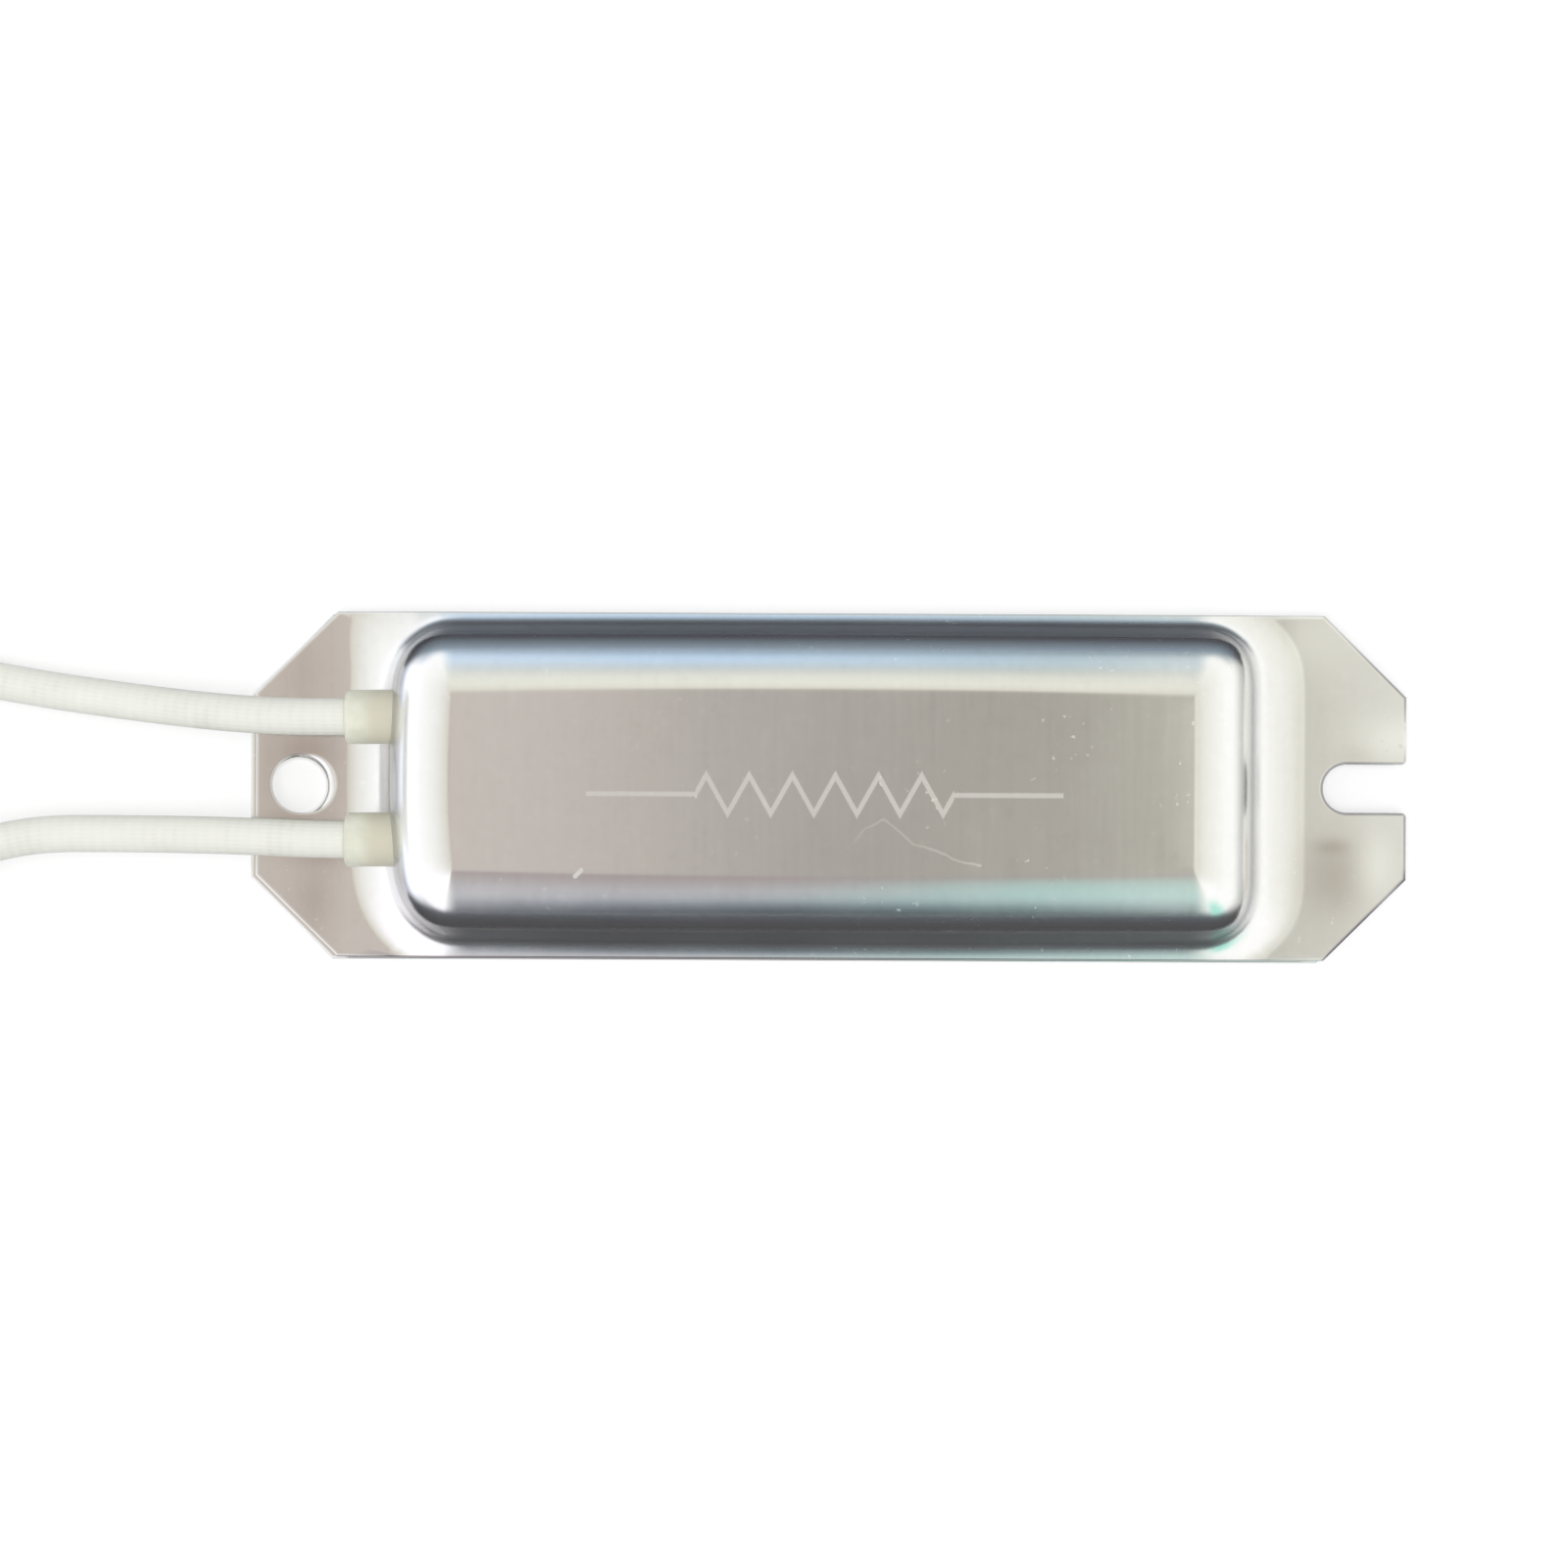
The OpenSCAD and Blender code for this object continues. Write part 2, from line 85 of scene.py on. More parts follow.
class Shell:
    """Gathers points, in millimetres, and faces of one piece."""

    def __init__(self):
        self.points, self.faces, self.count = [], [], 0

    def add(self, points, faces):
        """Takes an array of points and faces that count from its first point."""
        self.points.append(np.asarray(points, float).reshape(-1, 3))
        self.faces += [[v + self.count for v in f] for f in faces]
        self.count += len(self.points[-1])

    def grid(self, grid, flip=False):
        """Takes a grid of points, rows by columns by three."""
        self.add(grid, grid_faces(*grid.shape[:2], flip=flip))

    def piece(self, name, material, slot, sharp=32.0, uv=None):
        """Makes the object, at the origin, welded where its parts share points. A map, if there is
        one, gives two numbers for each corner of each face, in the faces' order."""
        mesh = bpy.data.meshes.new(name)
        mesh.from_pydata((np.concatenate(self.points) * MM).tolist(), [], self.faces)
        if uv is not None:
            mesh.uv_layers.new(name="sleeve").data.foreach_set("uv", uv.astype(np.float32).ravel())
        work = bmesh.new()
        work.from_mesh(mesh)
        bmesh.ops.remove_doubles(work, verts=work.verts, dist=0.002 * MM)
        bmesh.ops.dissolve_degenerate(work, dist=1e-7, edges=work.edges)
        work.to_mesh(mesh)
        work.free()
        mesh.polygons.foreach_set("use_smooth", np.ones(len(mesh.polygons), bool))
        mesh.set_sharp_from_angle(angle=math.radians(sharp))
        mesh.materials.append(material)
        made = bpy.data.objects.new(name, mesh)
        scene.collection.objects.link(made)
        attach(made, "root")
        print(name, len(mesh.polygons), "faces")
        return made


print("a grid of 3 by 8 points gives", len(grid_faces(3, 8)), "quads")

# %% [markdown]
# ## Shader maths
# A finish is a few formulas over the surface. The small class below wraps a node's socket, so that
# a formula is written as one and its nodes are added behind the scenes.


# %% Sockets with operators
class Sock:
    """One output socket. Plain arithmetic on it adds Math nodes."""

    def __init__(self, tree, socket):
        self.tree, self.socket = tree, socket

    def math(self, operation, *others):
        """A Math node with this socket first."""
        values = dict(enumerate((self,) + others))
        return self.tree.node("ShaderNodeMath", {"operation": operation}, values)

    def __rsub__(self, other):
        return self.tree.node("ShaderNodeMath", {"operation": "SUBTRACT"}, {0: other, 1: self})

    def __add__(self, other): return self.math("ADD", other)
    def __sub__(self, other): return self.math("SUBTRACT", other)
    def __mul__(self, other): return self.math("MULTIPLY", other)
    def __truediv__(self, other): return self.math("DIVIDE", other)
    def __abs__(self): return self.math("ABSOLUTE")

    def at_least(self, other):
        """The larger of the two."""
        return self.math("MAXIMUM", other)

    def at_most(self, other):
        """The smaller of the two."""
        return self.math("MINIMUM", other)

    def between(self, low, high, a=0.0, b=1.0):
        """Smooth step: a where the value is low, b where it is high."""
        values = {"Value": self, "From Min": low, "From Max": high, "To Min": a, "To Max": b}
        return self.tree.node("ShaderNodeMapRange", {"interpolation_type": "SMOOTHSTEP"}, values)

    def lump(self, middle, width):
        """Bell curve of height one round middle, e to the minus square of the distance in widths."""
        far = (self - middle) / width
        return (far * far * -1.0).math("EXPONENT")


class Tree:
    """The node tree of a material or a world, started empty."""

    def __init__(self, owner):
        owner.use_nodes = True
        self.tree = owner.node_tree
        self.tree.nodes.clear()

    def node(self, kind, settings=None, values=None, out=0):
        """Adds a node: settings first, then values or links for its sockets, and gives one output."""
        made = self.tree.nodes.new(kind)
        for name, value in (settings or {}).items():
            if name == "stops":
                ramp = made.color_ramp
                while len(ramp.elements) < len(value):
                    ramp.elements.new(1.0)
                for element, (place, colour) in zip(ramp.elements, value):
                    element.position, element.color = place, (*colour, 1.0)
            else:
                setattr(made, name, value)
        for name, value in (values or {}).items():
            if isinstance(value, Sock):
                self.tree.links.new(value.socket, made.inputs[name])
            else:
                made.inputs[name].default_value = value
        return Sock(self, made.outputs[out])

    def ramp(self, value, stops, blend="EASE"):
        """Colour by value. The ramp's places are shares of its whole range."""
        low, high = stops[0][0], stops[-1][0]
        places = [((place - low) / (high - low), colour) for place, colour in stops]
        share = (value - low) / (high - low)
        made = self.node("ShaderNodeValToRGB", {"stops": places}, {"Fac": share})
        made.socket.node.color_ramp.interpolation = blend
        return made

    def mix(self, share, a, b):
        """Mixes two colours."""
        return self.node("ShaderNodeMix", {"data_type": "RGBA", "clamp_factor": True},
                         {0: share, 6: a, 7: b}, out=2)

    def noise(self, where, scale, detail=2.0, rough=0.5, stretch=None):
        """Noise from 0 to 1. A stretch of 0.1 along an axis draws it out ten times along it."""
        if stretch:
            where = self.node("ShaderNodeMapping", None, {"Vector": where, "Scale": stretch})
        return self.node("ShaderNodeTexNoise", {"noise_dimensions": "3D"},
                         {"Vector": where, "Scale": scale, "Detail": detail, "Roughness": rough})

    def place(self):
        """The point on the surface in metres, from the origin of the case."""
        return self.node("ShaderNodeTexCoord", out="Object")

    def split(self, vector):
        """The three numbers of a vector."""
        parts = self.node("ShaderNodeSeparateXYZ", None, {0: vector}).socket.node
        return [Sock(self, s) for s in parts.outputs]

    def ray(self, kind):
        """One for rays of that kind, and else nothing."""
        return Sock(self, self.node("ShaderNodeLightPath").socket.node.outputs[kind])

    def principled(self, values, bump=None):
        """The surface shader. bump is a height in millimetres."""
        values = dict(values)
        if bump is not None:
            relief = {"Strength": 1.0, "Distance": MM, "Height": bump}
            values["Normal"] = self.node("ShaderNodeBump", None, relief)
        return self.node("ShaderNodeBsdfPrincipled", None, values)

    def finish(self, shader, kind="ShaderNodeOutputMaterial"):
        """Joins the shader to the output."""
        made = self.tree.nodes.new(kind)
        self.tree.links.new(shader.socket, made.inputs["Surface"])

# %% [markdown]
# ## The drawn cover
# One aluminium sheet, drawn into a pan: flat top, round bend, sloping wall, hollow foot, and a
# long run-in to the flat ears. A bevelled box would have one radius everywhere and show its facets
# in the reflections, so the sheet is made again here as one fine surface: a height over the
# distance from the flat top, called u. The wall's slope and the radii differ a little from side to
# side. The corners of the wall are tighter than the top bend, so the flat top keeps almost square
# corners. The long sides and the lead end are slightly bowed.

# %% Sizes of the cover
SHEET = 0.8
TOP_Z = 12.0
SWEEP = math.radians(24)  # turn of the run-in
WALL_U = 5.66  # from the flat top to where the wall starts
PAN = np.array([-0.74, 0.415])  # middle of the pan
WALL_HALF = np.array([36.54, 12.565])
CORNER = WALL_HALF - WALL_U
SQUARENESS = {-1: 3.0, 1: 3.6}  # of the corners at the lead end and at the slot end
TOP_BOW, WALL_BOW = 0.34, 0.1  # of the long sides, at the flat top and at the wall
LEAD_BOW = {-1: 0.38, 1: 0.2}  # of the lead end, to the front and to the back
BACK_CORNER_RUN = 25  # lengthens the run-in at the back corner of the lead end, see foot_of
COVER_AT, BASE_AT = np.array([0.25, 0.1]), np.array([-0.25, -0.1])
HALF = np.array([49.75, 14.9])  # of both plates
CHAMFER = np.array([7.1, 7.0])
COVER_SLOT, BASE_SLOT, SLOT_END, SLOT_LIP = 4.2, 4.6, 44.65, 0.4


def by_side(way, back, front, lead_end, slot_end, start=0.5, power=2.0):
    """A size that differs between the two long sides and the two ends. way holds directions
    outwards, as pairs, so its first number is -1 at the lead end and 1 at the slot end. The end's
    size comes in where that number passes start."""
    end = np.clip((np.abs(way[..., 0]) - start) / (1 - start), 0, 1) ** power
    long_side = np.where(way[..., 1] > 0, back, front)
    return long_side + end * (np.where(way[..., 0] > 0, slot_end, lead_end) - long_side)


def draft_of(way):
    """Slope of the wall away from upright."""
    return np.radians(by_side(way, 13.0, 15.0, 8.0, 10.0, 0.15, 1.0))


def bend_of(way):
    """Radius of the top bend, and its centre as (u, z). The bend always ends at the wall's top."""
    r = by_side(way, 5.3, 5.3, 5.7, 5.5, 0.15, 1.0)
    return r, WALL_U - r * np.cos(draft_of(way)), TOP_Z - r


def foot_of(way):
    """Radii of the foot and of its run-in. The run-in is longer at the back corner of the lead end,
    by BACK_CORNER_RUN times the square of the product of the direction's two numbers."""
    corner = np.clip(-way[..., 0], 0, 1) * np.clip(way[..., 1], 0, 1)
    run_in = by_side(way, 6.0, 6.0, 6.0, 8.0) + BACK_CORNER_RUN * corner ** 2
    return by_side(way, 2.1, 2.5, 3.0, 3.0), run_in


four_ways = np.array([(0.0, 1.0), (0.0, -1.0), (-1.0, 0.0), (1.0, 0.0)])
print("foot radii at the back, front, lead end and slot end:", foot_of(four_ways)[0].tolist())

# %% [markdown]
# A bend of the sheet is part of a circle, whose centre stays where it is while the radius grows or
# shrinks with the depth below the outer face. So one formula gives both faces of the sheet, and its
# thickness is the same everywhere.


# %% Section of the cover
def wall_top(way):
    """Height at which the top bend gives way to the wall."""
    r, _, z = bend_of(way)
    return z + r * np.sin(draft_of(way))


def foot_centres(way):
    """Where the wall meets the foot, and the centres of the foot's two bends, as (u, z)."""
    (foot, sweep), tilt = foot_of(way), draft_of(way)
    top = FLANGE_Z + sweep * (1 - math.cos(SWEEP)) + foot * (math.cos(SWEEP) - np.sin(tilt))
    wall = WALL_U + (wall_top(way) - top) * np.tan(tilt)
    foot_u, foot_z = wall + foot * np.cos(tilt), top + foot * np.sin(tilt)
    return wall, foot_u, foot_z, foot_u + (sweep - foot) * math.sin(SWEEP), FLANGE_Z + sweep


def height(u, way, deep):
    """Height of the sheet, deep below its outer face, at the distance u from the flat top: a circle
    for each bend and a straight line for the wall, each where it holds."""
    (foot, sweep), tilt = foot_of(way), draft_of(way)
    wall, foot_u, foot_z, sweep_u, sweep_z = foot_centres(way)
    bend_r, bend_u, bend_z = bend_of(way)
    bend = bend_z + np.sqrt(np.maximum((bend_r - deep) ** 2 - (u - bend_u) ** 2, 0))
    slope = wall_top(way) - deep * np.sin(tilt) - (u - WALL_U + deep * np.cos(tilt)) / np.tan(tilt)
    hollow = foot_z - np.sqrt(np.maximum((foot + deep) ** 2 - (foot_u - u) ** 2, 0))
    run_in = sweep_z - np.sqrt(np.maximum((sweep + deep) ** 2 - (sweep_u - u) ** 2, 0))
    z = np.where(u < bend_u, TOP_Z - deep, bend)
    z = np.where(u > WALL_U - deep * np.cos(tilt), slope, z)
    z = np.where(u > wall - deep * np.cos(tilt), hollow, z)
    z = np.where(u > foot_u - (foot + deep) * math.sin(SWEEP), run_in, z)
    return np.where(u > sweep_u, FLANGE_Z - deep, z)


print("wall's top at the four sides:", wall_top(four_ways).round(2).tolist())

# %% [markdown]
# The plate's outline has four chamfers and an open slot. A loop of points, and the direction
# outwards at each of them, is all that its faces and its edge need.


# %% Outlines
def arc(centre, radius, start, end, steps):
    """Points on a circle, from one angle to another in degrees."""
    a = np.radians(np.linspace(start, end, steps))
    return np.array(centre) + radius * np.stack([np.cos(a), np.sin(a)], axis=-1)


def closer(line, step=1.2):
    """The same line with points at most a step apart."""
    parts = []
    for a, b in zip(line[:-1], line[1:]):
        n = max(1, math.ceil(np.linalg.norm(b - a) / step))
        parts.append(a + (b - a) * (np.arange(n) / n)[:, None])
    return np.concatenate([*parts, line[-1:]])


def ear_lines(slot, at):
    """The plate's outline, anticlockwise, as two lines: round the slotted ear and round the other.
    Each side of the slot ends in a small lip of its own radius."""
    (x, y), (cut_x, cut_y), lip = HALF, CHAMFER, SLOT_LIP
    right = [
        [[x - cut_x, -y]], [[x, cut_y - y]],
        arc((x - lip, -slot / 2 - lip), lip, 0, 90, 7), arc((SLOT_END, 0), slot / 2, 270, 90, 33),
        arc((x - lip, slot / 2 + lip), lip, 270, 360, 7), [[x, y - cut_y]], [[x - cut_x, y]]
    ]
    left = [[cut_x - x, y], [-x, y - cut_y], [-x, cut_y - y], [cut_x - x, -y]]
    return [closer(np.concatenate(right) + at), closer(np.array(left) + at)]


def outward(loop):
    """Direction outwards at each point of an anticlockwise loop, longer at a corner, so that two
    neighbouring sides move out by the same distance."""
    ahead = np.roll(loop, -1, axis=0) - loop
    ahead /= np.linalg.norm(ahead, axis=1)[:, None]
    side = np.stack([ahead[:, 1], -ahead[:, 0]], axis=-1)
    both = side + np.roll(side, 1, axis=0)
    return both / np.maximum(np.sum(both * side, axis=1), 0.2)[:, None]


print("outline points of the two ears:", [len(line) for line in ear_lines(COVER_SLOT, COVER_AT)])

# %% [markdown]
# A flat face could be one big polygon, but smooth shading would smear its edges across it. So it
# gets a lattice of points between its borders, and a Delaunay triangulation joins them.


# %% Flat fills
def within(points, loop):
    """Which points lie inside a loop: an odd number of its sides lie to their right."""
    a, b = loop, np.roll(loop, -1, axis=0)
    x, y = points[:, 0, None], points[:, 1, None]
    crosses = (a[:, 1] > y) != (b[:, 1] > y)
    rise = np.where(b[:, 1] == a[:, 1], 1, b[:, 1] - a[:, 1])
    to_right = x < a[:, 0] + (y - a[:, 1]) / rise * (b[:, 0] - a[:, 0])
    return (np.sum(crosses & to_right, axis=1) % 2) == 1


def flat_fill(loop, holes=(), step=1.6):
    """Triangles that fill a loop but not its holes, with a lattice of points between them. Points
    of the lattice keep off the borders by 0.45 of a step."""
    rings = [loop, *holes]
    low, high = loop.min(0), loop.max(0)
    lattice = np.meshgrid(*[np.arange(low[k], high[k], step) + step / 2 for k in (0, 1)])
    lattice = np.stack(lattice, -1).reshape(-1, 2)
    edge = np.concatenate(rings)
    gap = np.min(np.linalg.norm(lattice[:, None] - edge[None], axis=2), axis=1)
    lattice = lattice[within(lattice, loop) & (gap >= step * 0.45)]
    ties, start = [], 0
    for ring in rings:
        ties += [(start + i, start + (i + 1) % len(ring)) for i in range(len(ring))]
        start += len(ring)
    points = [Vector(p) for p in np.concatenate([edge, lattice])]
    points, _, faces, *_ = geometry.delaunay_2d_cdt(points, ties, [], 1, 1e-6)
    points, faces = np.array([tuple(p) for p in points]), np.array(faces)
    middle = points[faces].mean(axis=1)
    keep = within(middle, loop)
    for hole in holes:
        keep &= ~within(middle, hole)
    faces = faces[keep]
    a, b, c = (points[faces[:, k]] for k in range(3))
    turned = np.cross(b - a, c - a) < 0
    faces[turned] = faces[turned][:, ::-1]
    return points, faces


def level(points, z):
    """Flat points at a height."""
    return np.column_stack([points, np.full(len(points), z)])


disc = arc((0, 0), 10, 0, 360, 33)[:-1]
print("a disc of 10 mm radius fills with", len(flat_fill(disc)[1]), "triangles")

# %% [markdown]
# The plates' edges are rounded by a hair, as sheared sheet is, which gives them their fine bright
# line. A bevel would round every sharp edge alike; a band carried round the outline rounds just
# this one.

# %% Rounded edge
EDGE_R, LEDGE = 0.12, 0.2


def edge_band(loop, out, upper, lower, r, ledge=LEDGE):
    """Rounded edge of a sheet. The loop is its edge, less r; the band bulges out by r, from the
    upper face's height to the lower one's. It turns a quarter circle at the top and at the bottom,
    and starts and ends with a narrow flat ledge, so that the flat faces keep a level shading."""
    a = np.linspace(0, math.pi / 2, 5)
    ledge = np.broadcast_to(ledge, len(loop))
    reach = (np.concatenate([np.sin(a), np.sin(a)[::-1]]) * r)[:, None] + 0 * ledge
    reach = np.concatenate([-ledge[None], reach, -ledge[None]])
    rise = np.concatenate([[0], r * (1 - np.cos(a))])[:, None]
    z = np.concatenate([upper - rise, (lower + rise)[::-1]]) + np.zeros(len(loop))
    xy = loop[None] + reach[..., None] * out[None]
    return np.concatenate([xy, z[..., None]], axis=-1)


print("rings in the band round a disc:", len(edge_band(disc, outward(disc), 1.0, 0.0, EDGE_R)))

# %% [markdown]
# The cover is put together from a swept surface (outer and inner face), two ears with their hole
# and slot, the flat top and the rounded edge. The swept surface stops at the plate's long edges,
# which cut through its run-in. One column of points has to stand exactly where such a cut starts.

# %% Round the pan
SIDE_POINTS, CORNER_POINTS = (15, 41), 46  # on a short and a long side, and round a corner
EDGE_SLACK = 5e-3  # a column this close to the long edge counts as cut by it


def full_reach(way):
    """Distance from the flat top to just past the run-in's end."""
    return foot_centres(way)[3] + 0.15


def long_edge(sign):
    """Where a long side of the plate starts to round over: the back for 1, the front for -1."""
    return COVER_AT[1] + sign * (HALF[1] - EDGE_R)


def corner_of(angle, power):
    """Steps from the flat top's corner to the wall's outline, and the directions outwards there.
    The nth powers of a step's two parts add up to the nth power of the wall's distance: that is a
    circle for two, and squarer for more."""
    part = np.stack([np.cos(angle), np.sin(angle)], axis=-1)
    step = WALL_U * part / np.sum(np.abs(part) ** power, axis=-1, keepdims=True) ** (1 / power)
    normal = np.sign(part) * np.abs(part) ** (power - 1)
    return step, normal / np.linalg.norm(normal, axis=-1, keepdims=True)


def corner_angles(turn, centre, power, y_sign):
    """Angles round a corner, with one of them moved to where the reach just meets the long edge.
    That place is looked for on a very fine scale."""
    fine = turn + np.linspace(0, math.pi / 2, 20001)
    step, normal = corner_of(fine, power)
    ends = centre[1] - y_sign * WALL_BOW + step[:, 1] + (full_reach(normal) - WALL_U) * normal[:, 1]
    short = np.abs(ends) < abs(long_edge(y_sign))
    passes = fine[np.argmax(np.diff(short.astype(int)) != 0)]
    angles = turn + np.linspace(0, math.pi / 2, CORNER_POINTS)[:-1]
    angles[1 + np.argmin(np.abs(angles[1:] - passes))] = passes
    return angles


def pan_outline():
    """Points on the wall's outline all the way round, anticlockwise, the nearest points of the flat
    top, and the directions outwards. The outline is straight along each side of the flat top and
    goes round each corner of it."""
    walls, tops, ways = [], [], []
    for side, (x_sign, y_sign) in enumerate([(1, 1), (-1, 1), (-1, -1), (1, -1)]):
        turn = side * math.pi / 2
        way = np.array([math.cos(turn), math.sin(turn)]).round()
        along = np.array([-way[1], way[0]])
        flat = np.abs(along) @ CORNER
        line = np.linspace(-flat, flat, SIDE_POINTS[side % 2])[:-1, None] * along
        line = line + PAN + way * (np.abs(way) @ CORNER)
        centre, power = PAN + CORNER * (x_sign, y_sign), SQUARENESS[x_sign]
        step, normal = corner_of(corner_angles(turn, centre, power, y_sign), power)
        tops += [line, np.tile(centre, (len(step), 1))]
        walls += [line + way * WALL_U, centre + step]
        ways += [np.tile(way, (len(line), 1)), normal]
    return np.concatenate(walls), np.concatenate(tops), np.concatenate(ways)


walls, tops, ways = pan_outline()
print("columns round the pan:", len(ways))

# %% [markdown]
# Thin sheet springs a little after drawing. The long sides lie further in towards the ends, and the
# lead end is pushed in at its corners. Both bows are added to the finished outline, so that the
# formulas above stay simple.


# %% Bows and reach
def lead_end_bow(points):
    """How far points of the lead end are pushed towards the middle of the case: the square of the
    place across, fading out along the case, and more to the front than to the back."""
    across = (points[:, 1] - PAN[1]) / CORNER[1]
    most = np.where(across < 0, LEAD_BOW[-1], LEAD_BOW[1])
    return most * np.minimum(np.abs(across), 1.7) ** 2 * np.clip((-18 - points[:, 0]) / 14, 0, 1)


def reach_of(walls, ways):
    """Reach of the surface from the flat top: to the flat ear's start, or to the plate's long edge
    where that comes first. Also tells which columns that edge cuts."""
    level_way = np.abs(ways[:, 1]) < 1e-9
    left = long_edge(np.sign(ways[:, 1])) - walls[:, 1]
    to_edge = WALL_U + left / np.where(level_way, 1, ways[:, 1])
    to_edge[level_way] = 1e9
    return np.minimum(full_reach(ways), to_edge), to_edge <= full_reach(ways) + EDGE_SLACK


share = (tops - PAN) / CORNER
inwards = share[:, 0] ** 2 * np.round(share[:, 1])
walls[:, 1] -= WALL_BOW * inwards
tops[:, 1] -= TOP_BOW * inwards
walls[:, 0] += lead_end_bow(walls)
tops[:, 0] += lead_end_bow(tops)
reach, cut = reach_of(walls, ways)
print("cut by the long edges at", int(cut.sum()), "columns")

# %% [markdown]
# The sheet's two faces are the same sweep at two depths. Steps are fine on the outer face, where
# reflections show them, and coarse on the inner one.


# %% The swept pan
def swept(deep, bend_steps, foot_steps):
    """Grid of points on the sheet's face at that depth: rings from the flat top outwards. As far as
    the wall, a ring is the wall's outline shrunk towards the flat top; past it, the outline grows
    by the same distance all round."""
    tilt = draft_of(ways)
    foot_start = foot_centres(ways)[0] - deep * np.cos(tilt)
    bend_r, bend_u, bend_z = bend_of(ways)
    a = np.linspace(0, 1, bend_steps)[:, None] * (math.pi / 2 - tilt)
    bend = bend_u + (bend_r - deep) * np.sin(a)
    t = np.linspace(0, 1, 8)[1:-1, None]
    wall = bend[-1] + (foot_start - bend[-1]) * t
    t = np.linspace(0, 1, foot_steps)[:, None] ** 1.6
    foot = foot_start + (reach - foot_start) * t
    u = np.concatenate([bend, wall, foot])
    z = height(u, ways, deep)
    z[:bend_steps] = bend_z + (bend_r - deep) * np.cos(a)
    inside = np.minimum(u / WALL_U, 1)[..., None]
    past = np.maximum(u - WALL_U, 0)[..., None]
    return np.concatenate([tops + inside * (walls - tops) + past * ways, z[..., None]], axis=-1)


outer, inner = swept(0.0, 40, 44), swept(SHEET, 12, 16)
print("rings and columns outside:", outer.shape[:2], "inside:", inner.shape[:2])

# %% [markdown]
# The free part of the last ring bounds an ear; the rest of the ear's border is the plate's outline.
# Going round anticlockwise, the edge band follows the slotted ear, the back long edge, the other
# ear and the front long edge. The other ear has an oblong hole.


# %% Borders of the ears
HOLE_R = 2.5
HOLE_ENDS = ((-45.15, 0.1), (-45.65, 0.1))
hole = np.concatenate([arc(HOLE_ENDS[0], HOLE_R, -90, 90, 33), arc(HOLE_ENDS[1], HOLE_R, 90, 270, 33)])
hole_out = outward(hole)
hole_wide = hole + EDGE_R * hole_out
lines = ear_lines(COVER_SLOT, COVER_AT)
ear_out = np.split(outward(np.concatenate(lines)), [len(lines[0])])
ear_in = [line - EDGE_R * out for line, out in zip(lines, ear_out)]
ear_flat = [line - LEDGE * out for line, out in zip(ear_in, ear_out)]
ring, columns = outer[-1, :, :2], len(cut)


def columns_from(start, stop, step):
    """Column numbers round the pan, from one to another."""
    return (start + step * np.arange((step * (stop - start)) % columns + 1)) % columns


def cut_end(x_sign, y_sign):
    """The column where an ear's free ring meets a long edge."""
    ends = np.flatnonzero(cut & ~(np.roll(cut, 1) & np.roll(cut, -1)))
    at = ring[ends] * (x_sign, y_sign)
    return ends[(at[:, 0] > 0) & (at[:, 1] > 0)][0]


print("columns where ears meet long edges:", [int(cut_end(x, y)) for x in (1, -1) for y in (1, -1)])

# %% [markdown]
# Each ear is filled twice, for the upper and the lower face. The border columns are the very points
# of the swept surface, so that welding joins everything into one closed sheet.

# %% Cover
cover = Shell()
cover.grid(outer, flip=True)
cover.grid(inner)
points, faces = flat_fill(outer[0, :, :2], step=2.4)
cover.add(level(points, TOP_Z), faces.tolist())
cover.add(level(points, TOP_Z - SHEET), faces[:, ::-1].tolist())
band = {"loop": [], "out": [], "up": [], "low": [], "ledge": []}
for number, side in enumerate((1, -1)):
    start, stop, onward = cut_end(side, -side), cut_end(side, side), cut_end(-side, side)
    border = np.concatenate([ear_flat[number], ring[columns_from(stop, start, -1)]])
    points, faces = flat_fill(border, [hole_wide + LEDGE * hole_out] if side < 0 else [])
    cover.add(level(points, FLANGE_Z), faces.tolist())
    cover.add(level(points, FLANGE_Z - SHEET), faces[:, ::-1].tolist())
    edge = columns_from(stop, onward, 1)
    ear_z = np.full(len(ear_in[number]), FLANGE_Z)
    band["loop"] += [ear_in[number], ring[edge]]
    band["out"] += [ear_out[number], np.tile([0.0, side], (len(edge), 1))]
    band["up"] += [ear_z, outer[-1, edge, 2]]
    band["low"] += [ear_z - SHEET, inner[-1, edge, 2]]
    band["ledge"] += [np.full(len(ear_z), LEDGE), np.zeros(len(edge))]
band = {name: np.concatenate(parts) for name, parts in band.items()}
outer_edge = edge_band(band["loop"], band["out"], band["up"], band["low"], EDGE_R, band["ledge"])
cover.grid(outer_edge, flip=True)
cover.grid(edge_band(hole_wide, -hole_out, FLANGE_Z, FLANGE_Z - SHEET, EDGE_R))
print("cover points:", cover.count)

# %% [markdown]
# The base plate is the same blank without the pan: one loop with its slot and the same edges. The
# punch has drawn the rim of its round hole down, so that the hole is a shallow funnel at the top,
# which catches the light.

# %% Base plate
BASE_Z = 1.2
BASE_HOLE = arc((-45.9, -0.1), 2.3, 0, 360, 65)[:-1]
ROLL = 0.9  # radius of the drawn rim
outline = np.concatenate(ear_lines(BASE_SLOT, BASE_AT))
loop = closer(np.concatenate([outline, outline[:1]]), 1.5)[:-1]
loop_out = outward(loop)
loop_in = loop - EDGE_R * loop_out
a = np.linspace(0, 1.5, 16)
rolls = np.concatenate([[-0.15], np.sin(a), [1, 1, 1 - EDGE_R / ROLL]])
drops = np.concatenate([[0], 1 - np.cos(a), [0.95, (BASE_Z - EDGE_R) / ROLL, BASE_Z / ROLL]])
funnel = BASE_HOLE[None] + ROLL * (1 - rolls[:, None, None]) * outward(BASE_HOLE)[None]
